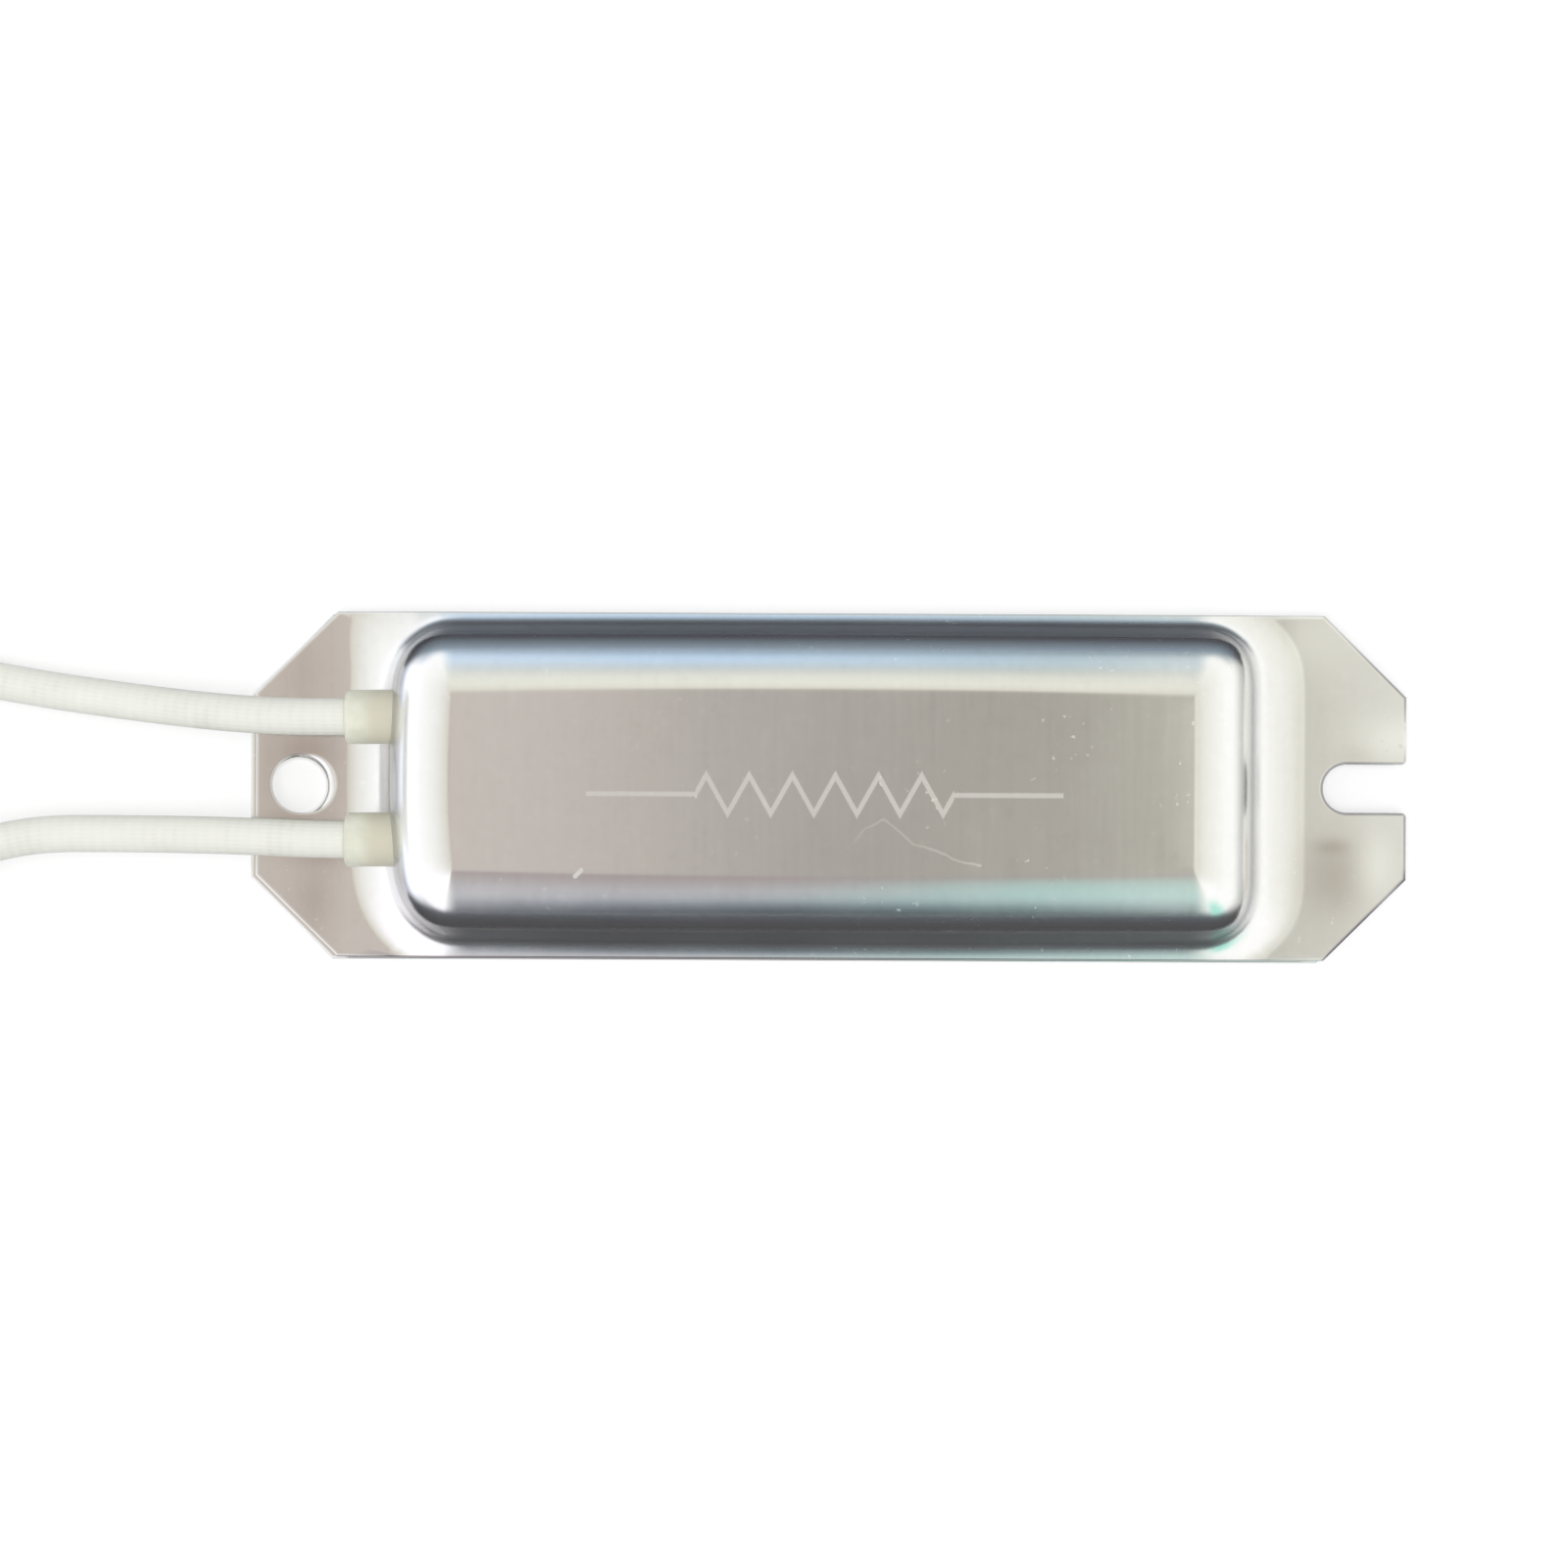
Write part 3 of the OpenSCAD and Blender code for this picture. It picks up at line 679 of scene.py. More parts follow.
funnel_z = np.broadcast_to((BASE_Z - ROLL * drops)[:, None, None], (*funnel.shape[:2], 1))
base = Shell()
for z, rim, order in ((BASE_Z, funnel[0], 1), (0, funnel[-1], -1)):
    points, faces = flat_fill(loop_in - LEDGE * loop_out, [rim], step=2.4)
    base.add(level(points, z), faces[:, ::order].tolist())
base.grid(edge_band(loop_in, loop_out, BASE_Z, 0, EDGE_R), flip=True)
base.grid(np.concatenate([funnel, funnel_z], axis=-1))
print("base plate points:", base.count)

# %% [markdown]
# ## Aluminium
# The sheet is rolled, so a fine grain runs across it. On metal the colour of the surface tints what
# it mirrors, and the grain shows as a change in roughness and a relief too small to see as height.
# Marks are placed by formulas over the surface: a thin line is a distance to some pieces, and a
# stain is a soft oval.

# %% Helpers for marks
METAL = 0.85  # share of the light that clean sheet sends back


def near_line(x, y, points, width):
    """Mask of a thin line through some points, in millimetres. It is one where the distance to one
    of its pieces is under the width: the nearest place on a piece is found first, as its share of
    the piece's length, held between 0 and 1."""
    mask = None
    for (ax, ay), (bx, by) in zip(points[:-1], points[1:]):
        dx, dy = bx - ax, by - ay
        share = ((x - ax) * dx + (y - ay) * dy) / (dx * dx + dy * dy)
        share = share.at_least(0.0).at_most(1.0)
        across, along = x - ax - share * dx, y - ay - share * dy
        piece = (across * across + along * along).math("SQRT").between(width, width * 0.3)
        mask = piece if mask is None else piece.at_least(mask)
    return mask


def ovals(x, y, spots):
    """Sum of soft ovals, each the product of two bell curves and a strength. A spot gives its
    middle, its size along and across, and its strength."""
    total = None
    for (middle_x, middle_y), (size_x, size_y), strength in spots:
        oval = x.lump(middle_x, size_x) * y.lump(middle_y, size_y) * strength
        total = oval if total is None else total + oval
    return total


# %% [markdown]
# A case like this is marked on its top by a laser that frosts the metal. Here the place carries the
# usual sign for a resistor: a line, a zigzag, and a line again.

# %% The sign on the top
SIGN_AT, SIGN_HALF = (-0.4, -0.6), 20.0
PEAK, PITCH, STROKE = 1.6, 3.6, 0.26


def resistor_sign(x, y):
    """Mask of the sign. Within three pitches of its middle the line is a triangle wave: twice the
    distance to the nearest whole number, taken twice, less one. Outside it is straight. The
    distance to the line is the height difference times the cosine of its slope."""
    x, y = x - SIGN_AT[0], y - SIGN_AT[1]
    s = x / PITCH + 0.25
    wave = abs(s - (s + 0.5).math("FLOOR")) * 4 - 1
    inside = abs(x).between(3 * PITCH + 0.01, 3 * PITCH - 0.01)
    lean = math.cos(math.atan(4 * PEAK / PITCH))
    zigzag = abs(y - wave * PEAK) * lean
    line = (abs(y) * (1 - inside) + zigzag * inside).between(STROKE * 1.1, STROKE * 0.5)
    return line * abs(x).between(SIGN_HALF, SIGN_HALF - 0.1)


# %% [markdown]
# A band of the wall is painted darker, and it lies higher at the two ends: painted shade, for the
# dark surroundings that the sloping wall mirrors; the wall is also rougher. Dark rims are painted
# along the plate's edges as painted shade: round the slot, along the slotted end and its chamfers,
# along the front, and on the corner beside the leads. The distance inwards from the edge decides
# how far the dark reaches.

# %% Painted shade on the wall and the rims
EAR_END, SLOT_MID = float(COVER_AT[0] + HALF[0]), float(COVER_AT[0] + SLOT_END)
CHAMFER_SUM = 57.9  # x and the distance across add up to this on a chamfer


def painted_wall_shade(x, z):
    """Mask of the band of the wall that is painted darker: painted shade, higher at the two ends."""
    at_lead, at_slot = x.between(-31, -35), x.between(31, 35)
    low, high = z - (at_lead * 1.3 + at_slot * 0.6), z - (at_lead * 1.8 + at_slot)
    return low.between(2.5, 3.6) * high.between(8.2, 6.6) * ((at_lead + at_slot) * 0.2 + 0.45)


def painted_rim_shade(x, y, z):
    """Masks of the three dark rims, painted shade along the edges, each with its colour."""
    across = abs(y - COVER_AT[1])
    past_slot = (SLOT_MID - x).at_least(0.0)
    inset = (past_slot * past_slot + across * across).math("SQRT") - COVER_SLOT / 2
    inset = inset.at_most(EAR_END - x).at_most((CHAMFER_SUM - x - across) * math.sqrt(0.5))
    inset = inset + z.between(2.0, 2.05)
    front_chamfer = y.between(-6.5, -8.0) * x.between(42.5, 43.5)
    slotted = inset.between(0.3, 0.12) * x.between(40, 43, 0.0, 0.62)
    slotted = slotted + inset.between(0.45, 0.2) * front_chamfer * 0.4
    # a painted shadow line along the front edge, which stands a little above the base plate
    front = y.between(-14.66, -14.76) * x.between(30, -10, 0.25, 0.8)
    corner = z.between(1.93, 1.84) * (x + y * 0.6).between(-46.2, -47.2) * x.between(-48.6, -48.4)
    return [(slotted.at_most(1.0), (0.10, 0.09, 0.13, 1)), (front, (0.16, 0.14, 0.16, 1)),
            (corner * 0.85, (0.12, 0.10, 0.11, 1))]


# %% [markdown]
# Handling leaves small nicks, and a long faint scratch and a chip on the top. On the ears lie
# brownish patches, partly stains and partly painted shade, as round the hole under the leads, and
# patches of painted light on the slotted ear. The brownish patches are uneven, because a broad noise
# makes them stronger and weaker.

# %% Finish of the sheet
# Brownish patches on the ears: partly stains, partly painted shade.
STAINS_AND_SHADE = [
    ((43.8, -7.8), (2.8, 3.6), 0.55), ((43.6, -4.9), (1.6, 0.7), 0.35), ((46.0, 2.9), (1.7, 1.0), 0.3),
    ((-45.2, 3.2), (2.6, 1.6), 0.4), ((-46.0, -2.8), (3.0, 0.8), 0.3), ((-45.5, 0.4), (4.6, 3.6), 0.25),
    ((-44.6, -9.9), (1.7, 3.0), 0.3), ((-45.4, 9.6), (2.0, 3.4), 0.2), ((-43.6, -5.9), (3.0, 1.2), 0.4)
]
# Patches of painted light on the slotted ear.
PAINTED_LIGHT = [
    ((48.9, 4.4), (3.0, 2.0), 1.0), ((47.6, -6.4), (1.6, 3.0), 0.9), ((41.5, 13.0), (4.0, 3.0), 0.8)
]
SCRATCH = [(1.2, -5.0), (2.8, -3.9), (4.7, -2.7), (5.8, -3.6), (7.1, -4.8), (9.7, -5.6), (12.6, -6.4)]
CHIP = [(-21.2, -7.5), (-20.7, -7.0)]


def cover_marks(t, x, y, z, cloud):
    """Masks of the cover's marks, painted shade and painted light, with their colours, in the order
    in which they are laid on, and what they add to the roughness."""
    # Brownish patches: stains and painted shade.
    stain_and_shade = ovals(x, y, STAINS_AND_SHADE) + x.between(-41, -43) * 0.12
    stain_and_shade = (stain_and_shade * cloud.between(0.2, 0.8, 0.75, 1.25)).at_most(1.0)
    # Painted light on the slotted ear.
    painted_light = ovals(x, y, PAINTED_LIGHT).at_most(1.0) * x.between(39, 41)
    sway = (t.noise(t.place(), 450, 2) - 0.5) * 1.6
    scratch = near_line(x + sway, y - sway, SCRATCH, 0.16) * cloud.between(0.35, 0.6, 0.0, 0.35)
    pale = scratch + near_line(x, y, CHIP, 0.3) * 0.7 + resistor_sign(x, y) * 0.55
    pale = pale.at_most(1.0) * z.between(11.85, 11.95)
    bends = z.between(11.95, 11.3) * z.between(2.0, 2.4)
    wall = z.between(2.6, 3.4) * z.between(9.4, 7.6)
    marks = [(painted_wall_shade(x, z), (0.41, 0.42, 0.45, 1)), *painted_rim_shade(x, y, z),
             (stain_and_shade, (0.52, 0.46, 0.42, 1)), (painted_light, (1.0, 1.0, 0.99, 1)),
             (pale, (0.93, 0.93, 0.91, 1))]
    return marks, bends * 0.07 + wall * 0.12 + pale * 0.3


def sheet_finish(name, marked):
    """Rolled aluminium with its grain across the case. A marked sheet also has the sign, the
    scratch, the chip, and the cover's stains, painted shade and painted light."""
    made = bpy.data.materials.new(name)
    t = Tree(made)
    place = t.place()
    x, y, z = (v * (1 / MM) for v in t.split(place))
    grain = t.noise(place, 1400, 3, 0.6, stretch=(1.0, 0.05, 1.0))
    cloud = t.noise(place, 70, 3)
    spots = t.noise(place, 1700, 1, 0.4)
    nick = spots.between(0.715, 0.77) * t.noise(place, 110, 2).between(0.38, 0.55) * 0.6
    tone = grain * 0.3 + cloud * 0.2 + t.noise(place, 800, 4, 0.7) * 0.5
    tones = [(0.35, (0.832, 0.823, 0.81)), (0.5, (0.855, 0.848, 0.836)), (0.65, (0.878, 0.873, 0.863))]
    colour = t.ramp(tone, tones)
    rough = grain.between(0.3, 0.7, 0.128, 0.138) + cloud.between(0.3, 0.7, -0.01, 0.02)
    if marked:
        nick = nick * x.between(-10, 12, 0.3, 1.0)
        marks, rougher = cover_marks(t, x, y, z, cloud)
        rough = rough + rougher
        for mask, tint in marks:
            colour = t.mix(mask, colour, tint)
    colour = t.mix(nick, colour, (0.96, 0.96, 0.95, 1))
    values = {"Base Color": colour, "Metallic": 1.0, "Roughness": rough + nick * 0.3}
    t.finish(t.principled(values, grain * 0.00005))
    return made


drawn_sheet = sheet_finish("drawn_aluminium", True)
flat_sheet = sheet_finish("flat_aluminium", False)
drawn_cover = cover.piece("drawn_cover", drawn_sheet, "cover", sharp=38)
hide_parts("cover")
base_plate = base.piece("flat_base_plate", flat_sheet, "base_plate", sharp=38)
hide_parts("base_plate")


# %% [markdown]
# ## Bushings
# A short translucent sleeve of cured silicone fills each hole in the end wall and grips its lead.
# It is a turned piece: one profile, from the bore out over the rounded rim, carried round the axis.
# Its outer side swells and shrinks a little, as cast silicone does. A plain cylinder with a bevel
# would be simpler, but its highlight would be too straight.

# %% Bushings
LINE_Y = {"back": 5.85, "front": -4.65}  # where the leads come out
AXIS_Z, SLEEVE_X = 5.2, -41.25


def bushing(phase):
    """Turned sleeve of 4.7 mm outside and 3.3 mm bore, 7.3 mm long, with rims of 0.35 mm radius.
    The outer radius shrinks by 0.03 mm times one plus a slow wave, so that it stays inside its
    solid."""
    a = np.linspace(0, math.pi / 2, 7)
    r_out, r_in, rim, x0, x1 = 2.35, 1.65, 0.35, SLEEVE_X, -33.95
    body = np.linspace(x0 + rim, x1 - rim, 24)[1:-1]
    front_r = np.concatenate([[r_in], r_out - rim + rim * np.sin(a)])
    front_x = np.concatenate([[x0], x0 + rim * (1 - np.cos(a))])
    x = np.concatenate([front_x, body, (x0 + x1) - front_x[::-1], [x0]])
    r = np.concatenate([front_r, np.full(len(body), r_out), front_r[::-1], [r_in]])
    turn = np.linspace(0, 2 * math.pi, 65)[:-1]
    wave = np.sin(2 * turn[None] + phase + x[:, None] * 0.9) * np.cos(turn[None] - x[:, None] * 0.5)
    radius = r[:, None] - np.where(r > 2, 0.03, 0)[:, None] * (1 + wave)
    x = np.tile(x[:, None], len(turn))
    return np.stack([x, radius * np.cos(turn), radius * np.sin(turn)], axis=-1)


print("profile points of a bushing:", len(bushing(0)))

# %% [markdown]
# The bushings are milky silicone: light goes in and comes out again, so they have some subsurface
# scattering and a soft gloss.


# %% Bushings in place
def silicone_finish():
    """Cream silicone, mottled by noise, with painted shade close to the end wall, where the sleeve
    meets it.
    """
    made = bpy.data.materials.new("cream_silicone")
    t = Tree(made)
    x, _, _ = t.split(t.place())
    cloud = t.noise(t.place(), 500, 3)
    # Painted shade in the crease where the sleeve meets the end wall.
    crease_shade = x.between(-40.2 * MM, -38.4 * MM)
    pale = t.ramp(cloud, [(0.3, (0.73, 0.735, 0.61)), (0.7, (0.83, 0.835, 0.72))])
    colour = t.mix(crease_shade, pale, (0.69, 0.665, 0.54, 1))
    values = {"Base Color": colour, "Roughness": cloud.between(0.3, 0.7, 0.35, 0.5), "IOR": 1.41,
              "Subsurface Weight": 0.3, "Subsurface Radius": (1.0, 0.8, 0.5),
              "Subsurface Scale": 0.5 * MM}
    t.finish(t.principled(values, cloud * 0.02))
    return made


cream_silicone = silicone_finish()
WAVE_START = {"back": 0.7, "front": 2.1}
for name, y in LINE_Y.items():
    shell = Shell()
    shell.grid(bushing(WAVE_START[name]) + (0, y, AXIS_Z))
    sleeve = shell.piece("bushing_sleeve_" + name, cream_silicone, "bushing", sharp=50)
    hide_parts("bushing_" + name)

# %% [markdown]
# ## Leads
# Each lead is 3.2 mm over its sleeve and about 320 mm long. It leaves its bushing straight, sinks
# under its own weight to the table, and what is left over is folded into a flat hank beside the
# case, one lead above the other, in two lanes. The route is a line of points, made smooth by a
# curve that passes through all of them.

# %% Routes
routes = {
    "back": [
        (-33.45, 5.85, 5.2), (-42, 5.85, 5.2), (-45, 5.86, 5.15), (-48, 5.94, 4.95), (-51, 6.13, 4.6),
        (-54, 6.4, 4.2), (-57, 6.73, 3.75), (-60, 7.1, 3.3), (-63, 7.5, 2.9), (-66, 7.92, 2.6),
        (-69, 8.4, 2.4), (-72, 8.95, 2.3), (-75, 9.8, 2.22), (-78, 11.2, 2.2), (-80.5, 12.3, 2.2),
        (-83, 12.7, 2.2)
    ],
    "front": [
        (-33.45, -4.65, 5.2), (-42, -4.65, 5.2), (-45, -4.6, 5.15), (-48, -4.48, 5), (-51, -4.38, 4.75),
        (-54, -4.32, 4.45), (-57, -4.28, 4.2), (-60, -4.26, 4.05), (-63, -4.26, 4), (-66, -4.3, 4.08),
        (-69, -4.6, 4.3), (-72, -5.3, 4.6), (-75, -6.6, 4.95), (-78, -8.2, 5.25), (-80.5, -9.35, 5.37),
        (-83, -9.7, 5.4)
    ]
}
HANK_X, HANK_END, HANK_Y, FREE_END = -92, -140, 1.5, -112
LANES = (11.2, 8.0)
STACK = {"back": (1, 2.2), "front": (-1, 5.4)}  # side where the outer lane starts, and height


def hank(side, z):
    """The folded part: out along the outer lane, round the far end, back, and the same again one
    lane further in. Each half turn is twelve steps on a circle whose radius shrinks to the next
    lane's at the near end."""
    steps = np.arange(12) / 12
    a = math.pi * steps
    out, back = np.linspace(HANK_X, HANK_END, 7)[:-1], np.linspace(HANK_END, HANK_X, 7)[:-1]
    last = np.linspace(HANK_END, FREE_END, 5)
    shrinking = LANES[0] + (LANES[1] - LANES[0]) * steps
    parts = []
    for radius, straight in zip(LANES, (back, last)):
        parts += [(out, radius + 0 * out), (HANK_END - radius * np.sin(a), radius * np.cos(a)),
                  (straight, 0 * straight - radius)]
    parts.insert(3, (HANK_X + shrinking * np.sin(a), -shrinking * np.cos(a)))
    x, y = (np.concatenate([part[k] for part in parts]) for k in (0, 1))
    return np.column_stack([x, HANK_Y + side * y, np.full(len(x), z)])


def smooth(points, steps=5):
    """Curve through all points: between two of them, the cubic whose slope at each is the half
    difference of its neighbours."""
    p = np.concatenate([2 * points[:1] - points[1:2], points, 2 * points[-1:] - points[-2:-1]])
    t = (np.arange(steps) / steps)[None, :, None]
    a, b, c, d = (p[k:len(p) - 3 + k, None, :] for k in range(4))
    slope, twice, thrice = c - a, 2 * a - 5 * b + 4 * c - d, 3 * b - a - 3 * c + d
    line = 0.5 * (2 * b + slope * t + twice * t ** 2 + thrice * t ** 3)
    return np.concatenate([line.reshape(-1, 3), p[-2:-1]])


paths = {name: smooth(np.concatenate([routes[name], hank(*STACK[name])])) for name in routes}


# %% [markdown]
# A tube is a circle carried along the path. Blender's bevelled curve would give the same shape, but
# a grid also gives the map: once round and once along. It carries the braid of the sleeve, so the
# pattern follows every bend.


# %% Tubes
def frame_along(path):
    """Direction along a path, and two directions across it, level and upwards."""
    ahead = np.gradient(path, axis=0)
    ahead /= np.linalg.norm(ahead, axis=1)[:, None]
    across = np.cross(ahead, (0, 0, 1))
    across /= np.linalg.norm(across, axis=1)[:, None]
    return ahead, across, np.cross(across, ahead)


def tube(path, radius, sides=20, inset=0.35):
    """Grid of rings along a path, with both ends rounded over by the inset: near an end the ring
    shrinks as a quarter circle."""
    ahead, across, up = frame_along(path)
    turn = np.linspace(0, 2 * math.pi, sides + 1)[:-1]
    round_dir = across[:, None] * np.cos(turn)[:, None] + up[:, None] * np.sin(turn)[:, None]
    body = path[:, None] + radius * round_dir
    cap = np.linspace(0, math.pi / 2, 5)
    ends = []
    for end, sign in ((0, 1), (-1, -1)):
        r = radius - inset + inset * np.sin(cap)
        back = sign * inset * (1 - np.cos(cap))
        rings = path[end] + ahead[end] * back[:, None, None] + r[:, None, None] * round_dir[end][None]
        point = np.broadcast_to(path[end], (1, sides, 3))
        ends.append(np.concatenate([point, rings]))
    far = np.linalg.norm(path - path[0], axis=1) > inset * 1.5
    far &= np.linalg.norm(path - path[-1], axis=1) > inset * 1.5
    return np.concatenate([ends[0], body[far], ends[1][::-1]])


def tube_map(rows, columns, lengthways):
    """Map of a tube: round it from 0 to 1, and along it in millimetres. The corners of a face keep
    the order in which grid_faces gives them when flipped, with the seam's far side at 1."""
    i, j = np.meshgrid(np.arange(rows - 1), np.arange(columns), indexing="ij")
    u = np.stack([j, j + 1, j + 1, j], axis=-1) / columns
    v = np.stack([lengthways[i + 1], lengthways[i + 1], lengthways[i], lengthways[i]], axis=-1)
    return np.stack([u, v], axis=-1)


print("rings along a lead:", {name: len(tube(path, 1.0)) for name, path in paths.items()})

# %% [markdown]
# The braid is two families of strands that wind round the sleeve both ways. Each is a wave over the
# map: so many strands round, and so many turns to the millimetre.

# %% Finish of the sleeves
STRANDS, TURNS = 12, 0.55


def sleeve_finish():
    """White woven sleeve: both waves give a fine relief and shade the colour a little."""
    made = bpy.data.materials.new("white_sleeve")
    t = Tree(made)
    around, along, _ = t.split(t.node("ShaderNodeTexCoord", out=2))
    one, two = around * STRANDS + along * TURNS, around * STRANDS - along * TURNS
    weave = (one * (2 * math.pi)).math("SINE") * (two * (2 * math.pi)).math("SINE")
    cloud = t.noise(t.place(), 260, 3)
    tone = (weave * 0.5 + 0.5) * 0.2 + cloud * 0.8
    tones = [(0.2, (0.79, 0.795, 0.72)), (0.5, (0.86, 0.865, 0.795)), (0.8, (0.91, 0.915, 0.85))]
    relief = weave * 0.012 + cloud * 0.03
    t.finish(t.principled({"Base Color": t.ramp(tone, tones), "Roughness": 0.62}, relief))
    return made


white_sleeve = sleeve_finish()
print("finish:", white_sleeve.name)

# %% [markdown]
# Each lead is made as a new tube, and the CAD tube of its stretch and the CAD hank are hidden.

# %% Leads
LEAD_R = 1.6
HAIR = 0.008  # makes the tube thinner, so that lanes side by side do not share points


def make_lead(name):
    """Tube along the lead's path, with its map. The map's lengths run along the tube's middle."""
    grid = tube(paths[name], LEAD_R - HAIR)
    shell = Shell()
    shell.grid(grid, flip=True)
    pieces = np.linalg.norm(np.diff(grid.mean(axis=1), axis=0), axis=1)
    sleeve_map = tube_map(*grid.shape[:2], np.concatenate([[0], np.cumsum(pieces)]))
    return shell.piece("sleeved_lead_" + name, white_sleeve, "lead", sharp=60, uv=sleeve_map)


leads = {name: make_lead(name) for name in paths}
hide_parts("lead_back", "lead_hank")
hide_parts("lead_front", "lead_hank")

# %% [markdown]
# The bared ends are tinned: seven strands twisted together, with the solder filling the grooves
# between them. One lobed outline, turned as it goes along, gives that.


# %% Tinned ends
def tinned_end(side, z):
    """Bundle 8 mm long and at most 1.4 mm across: radius 0.64 mm plus 0.05 mm times the wave of six
    outer strands, turned once in 11 mm, and rounded at the cut end."""
    straight, rounding, lay = 7.6, 0.4, 11
    tip = rounding * np.sin(np.linspace(0, math.pi / 2, 6))[1:]
    x = np.concatenate([np.linspace(0, straight, 40), straight + tip])
    turn = np.linspace(0, 2 * math.pi, 49)[:-1]
    lobe = np.abs(np.cos(3 * (turn[None] + 2 * math.pi * x[:, None] / lay)))
    shrink = np.sqrt(np.clip(1 - ((x - straight) / 0.42).clip(0) ** 2, 0, 1))
    r = (0.64 + 0.05 * lobe) * shrink[:, None]
    y = HANK_Y - side * LANES[1] + r * np.cos(turn)
    grid = np.stack([FREE_END + np.tile(x[:, None], len(turn)), y, z + r * np.sin(turn)], axis=-1)
    tail, head = (np.tile(row.mean(axis=0), (1, len(turn), 1)) for row in (grid[0], grid[-1]))
    return np.concatenate([tail, grid, head])


def tin_finish():
    """Solder-coated copper: bright, with a slight mottle."""
    made = bpy.data.materials.new("tinned_copper")
    t = Tree(made)
    mottle = t.noise(t.place(), 2400, 3)
    colour = t.ramp(mottle, [(0.3, (0.62, 0.61, 0.58)), (0.7, (0.8, 0.79, 0.76))])
    rough = mottle.between(0.3, 0.7, 0.24, 0.4)
    t.finish(t.principled({"Base Color": colour, "Metallic": 1.0, "Roughness": rough}))
    return made


tinned_copper = tin_finish()
for name, layer in STACK.items():
    shell = Shell()
    shell.grid(tinned_end(*layer))
    shell.piece("tinned_end_" + name, tinned_copper, "tinned", sharp=50)
    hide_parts("tip_" + name)

# %% [markdown]
# ## Tie
# A nylon tie holds the hank: a strap with a ribbed face, drawn round all the lanes, and a square
# lock on top. The strap is a loop carried across its own width, which keeps its corners round and
# lets the ribs be a wave along the loop.

# %% Strap
TIE_X = HANK_X - 24
STRAP = 0.6  # thickness of the strap


def strap():
    """Closed strap 3 mm wide and 0.6 mm thick round the hank. A loop round the hank's section,
    rounded at its corners, is carried across the strap's width; its outer side has shallow ribs."""
    half_y, low, r = LANES[0] + LEAD_R + STRAP, 0.0, 1.0
    high = STACK["front"][1] + LEAD_R + STRAP
    side = half_y - r
    corners = [(side, low + r), (side, high - r), (-side, high - r), (-side, low + r)]
    quarters = [arc(c, r, a, a + 90, 9) for c, a in zip(corners, (270, 0, 90, 180))]
    loop = np.concatenate(quarters) + (HANK_Y, 0)
    loop = closer(np.concatenate([loop, loop[:1]]), 0.4)[:-1]
    out = outward(loop)
    wave = np.sin(np.arange(len(loop)) * math.pi / 2 + 0.3)
    rib = 0.05 * (1 + np.sign(wave))[:, None]
    x = TIE_X + np.array([-1.5, -1.5, -1.38, 1.38, 1.5, 1.5, 1.38, -1.38, -1.5])
    deep = np.array([0.5, 0.12, 0.0, 0.0, 0.12, 0.48, 0.59, 0.59, 0.5])
    rows = []
    for place, d in zip(x, deep):
        flat = loop - out * (d + (rib if d == 0 else 0))
        rows.append(np.column_stack([np.full(len(loop), place), flat]))
    return np.array(rows)


tie = Shell()
tie.grid(strap())
print("strap points:", tie.count)

# %% [markdown]
# The lock is a small box with rounded corners whose top edge is rounded over: the same loop, a
# little smaller on each higher ring.

# %% Lock
LOCK_LOW, LOCK_TOP, LOCK_INSET = 7.55, 9.8, 0.36
lock = np.concatenate([arc((sx * 1.8, sy * 1.8), 0.4, a, a + 90, 6)
                       for sx, sy, a in ((1, -1, 270), (1, 1, 0), (-1, 1, 90), (-1, -1, 180))])
lock = lock + (TIE_X, HANK_Y)
lock_out = outward(lock)
rings = [(0.0, LOCK_LOW), (0.0, 9.4), (0.06, 9.6), (0.2, 9.75), (LOCK_INSET, LOCK_TOP)]
tie.grid(np.array([level(lock - lock_out * d, z) for d, z in rings]))
points, faces = flat_fill(lock - lock_out * LOCK_INSET, step=0.9)
tie.add(level(points, LOCK_TOP), faces.tolist())
points, faces = flat_fill(lock, step=0.9)
tie.add(level(points, LOCK_LOW), faces[:, ::-1].tolist())


def nylon_finish():
    """Natural nylon: milky, with a soft sheen."""
    made = bpy.data.materials.new("natural_nylon")
    t = Tree(made)
    cloud = t.noise(t.place(), 300, 2)
    colour = t.ramp(cloud, [(0.3, (0.74, 0.74, 0.69)), (0.7, (0.82, 0.82, 0.78))])
    rough = cloud.between(0.3, 0.7, 0.35, 0.5)
    t.finish(t.principled({"Base Color": colour, "Roughness": rough, "IOR": 1.53}))
    return made


hank_tie = tie.piece("nylon_tie", nylon_finish(), "tie")
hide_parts("hank_tie")

# %% [markdown]
# The leads are soft, and the far end of each is bare. Below, the point where each leaves its
# sleeve is worked out, in metres.

for name in paths:
    start = (SLEEVE_X * MM, LINE_Y[name] * MM, AXIS_Z * MM)

# %% [markdown]
# ## Inside
# What the case hides keeps its CAD shape and gets its own finish, so that the part can be opened or
# cut in section: cement, mica, ceramic cores, resistance wire, caps and crimps.


# %% Finishes of the inner pieces
def plain_finish(name, dark, light, scale, rough, metallic, relief):
    """A finish of two tones mixed by noise, with the same noise in its roughness and relief."""
    made = bpy.data.materials.new(name)
    t = Tree(made)
    speck = t.noise(t.place(), scale, 4)
    values = {"Base Color": t.ramp(speck, [(0.32, dark), (0.68, light)]), "Metallic": metallic,
              "Roughness": speck.between(0.3, 0.7, *rough)}
    t.finish(t.principled(values, speck * relief if relief else None))
    return made


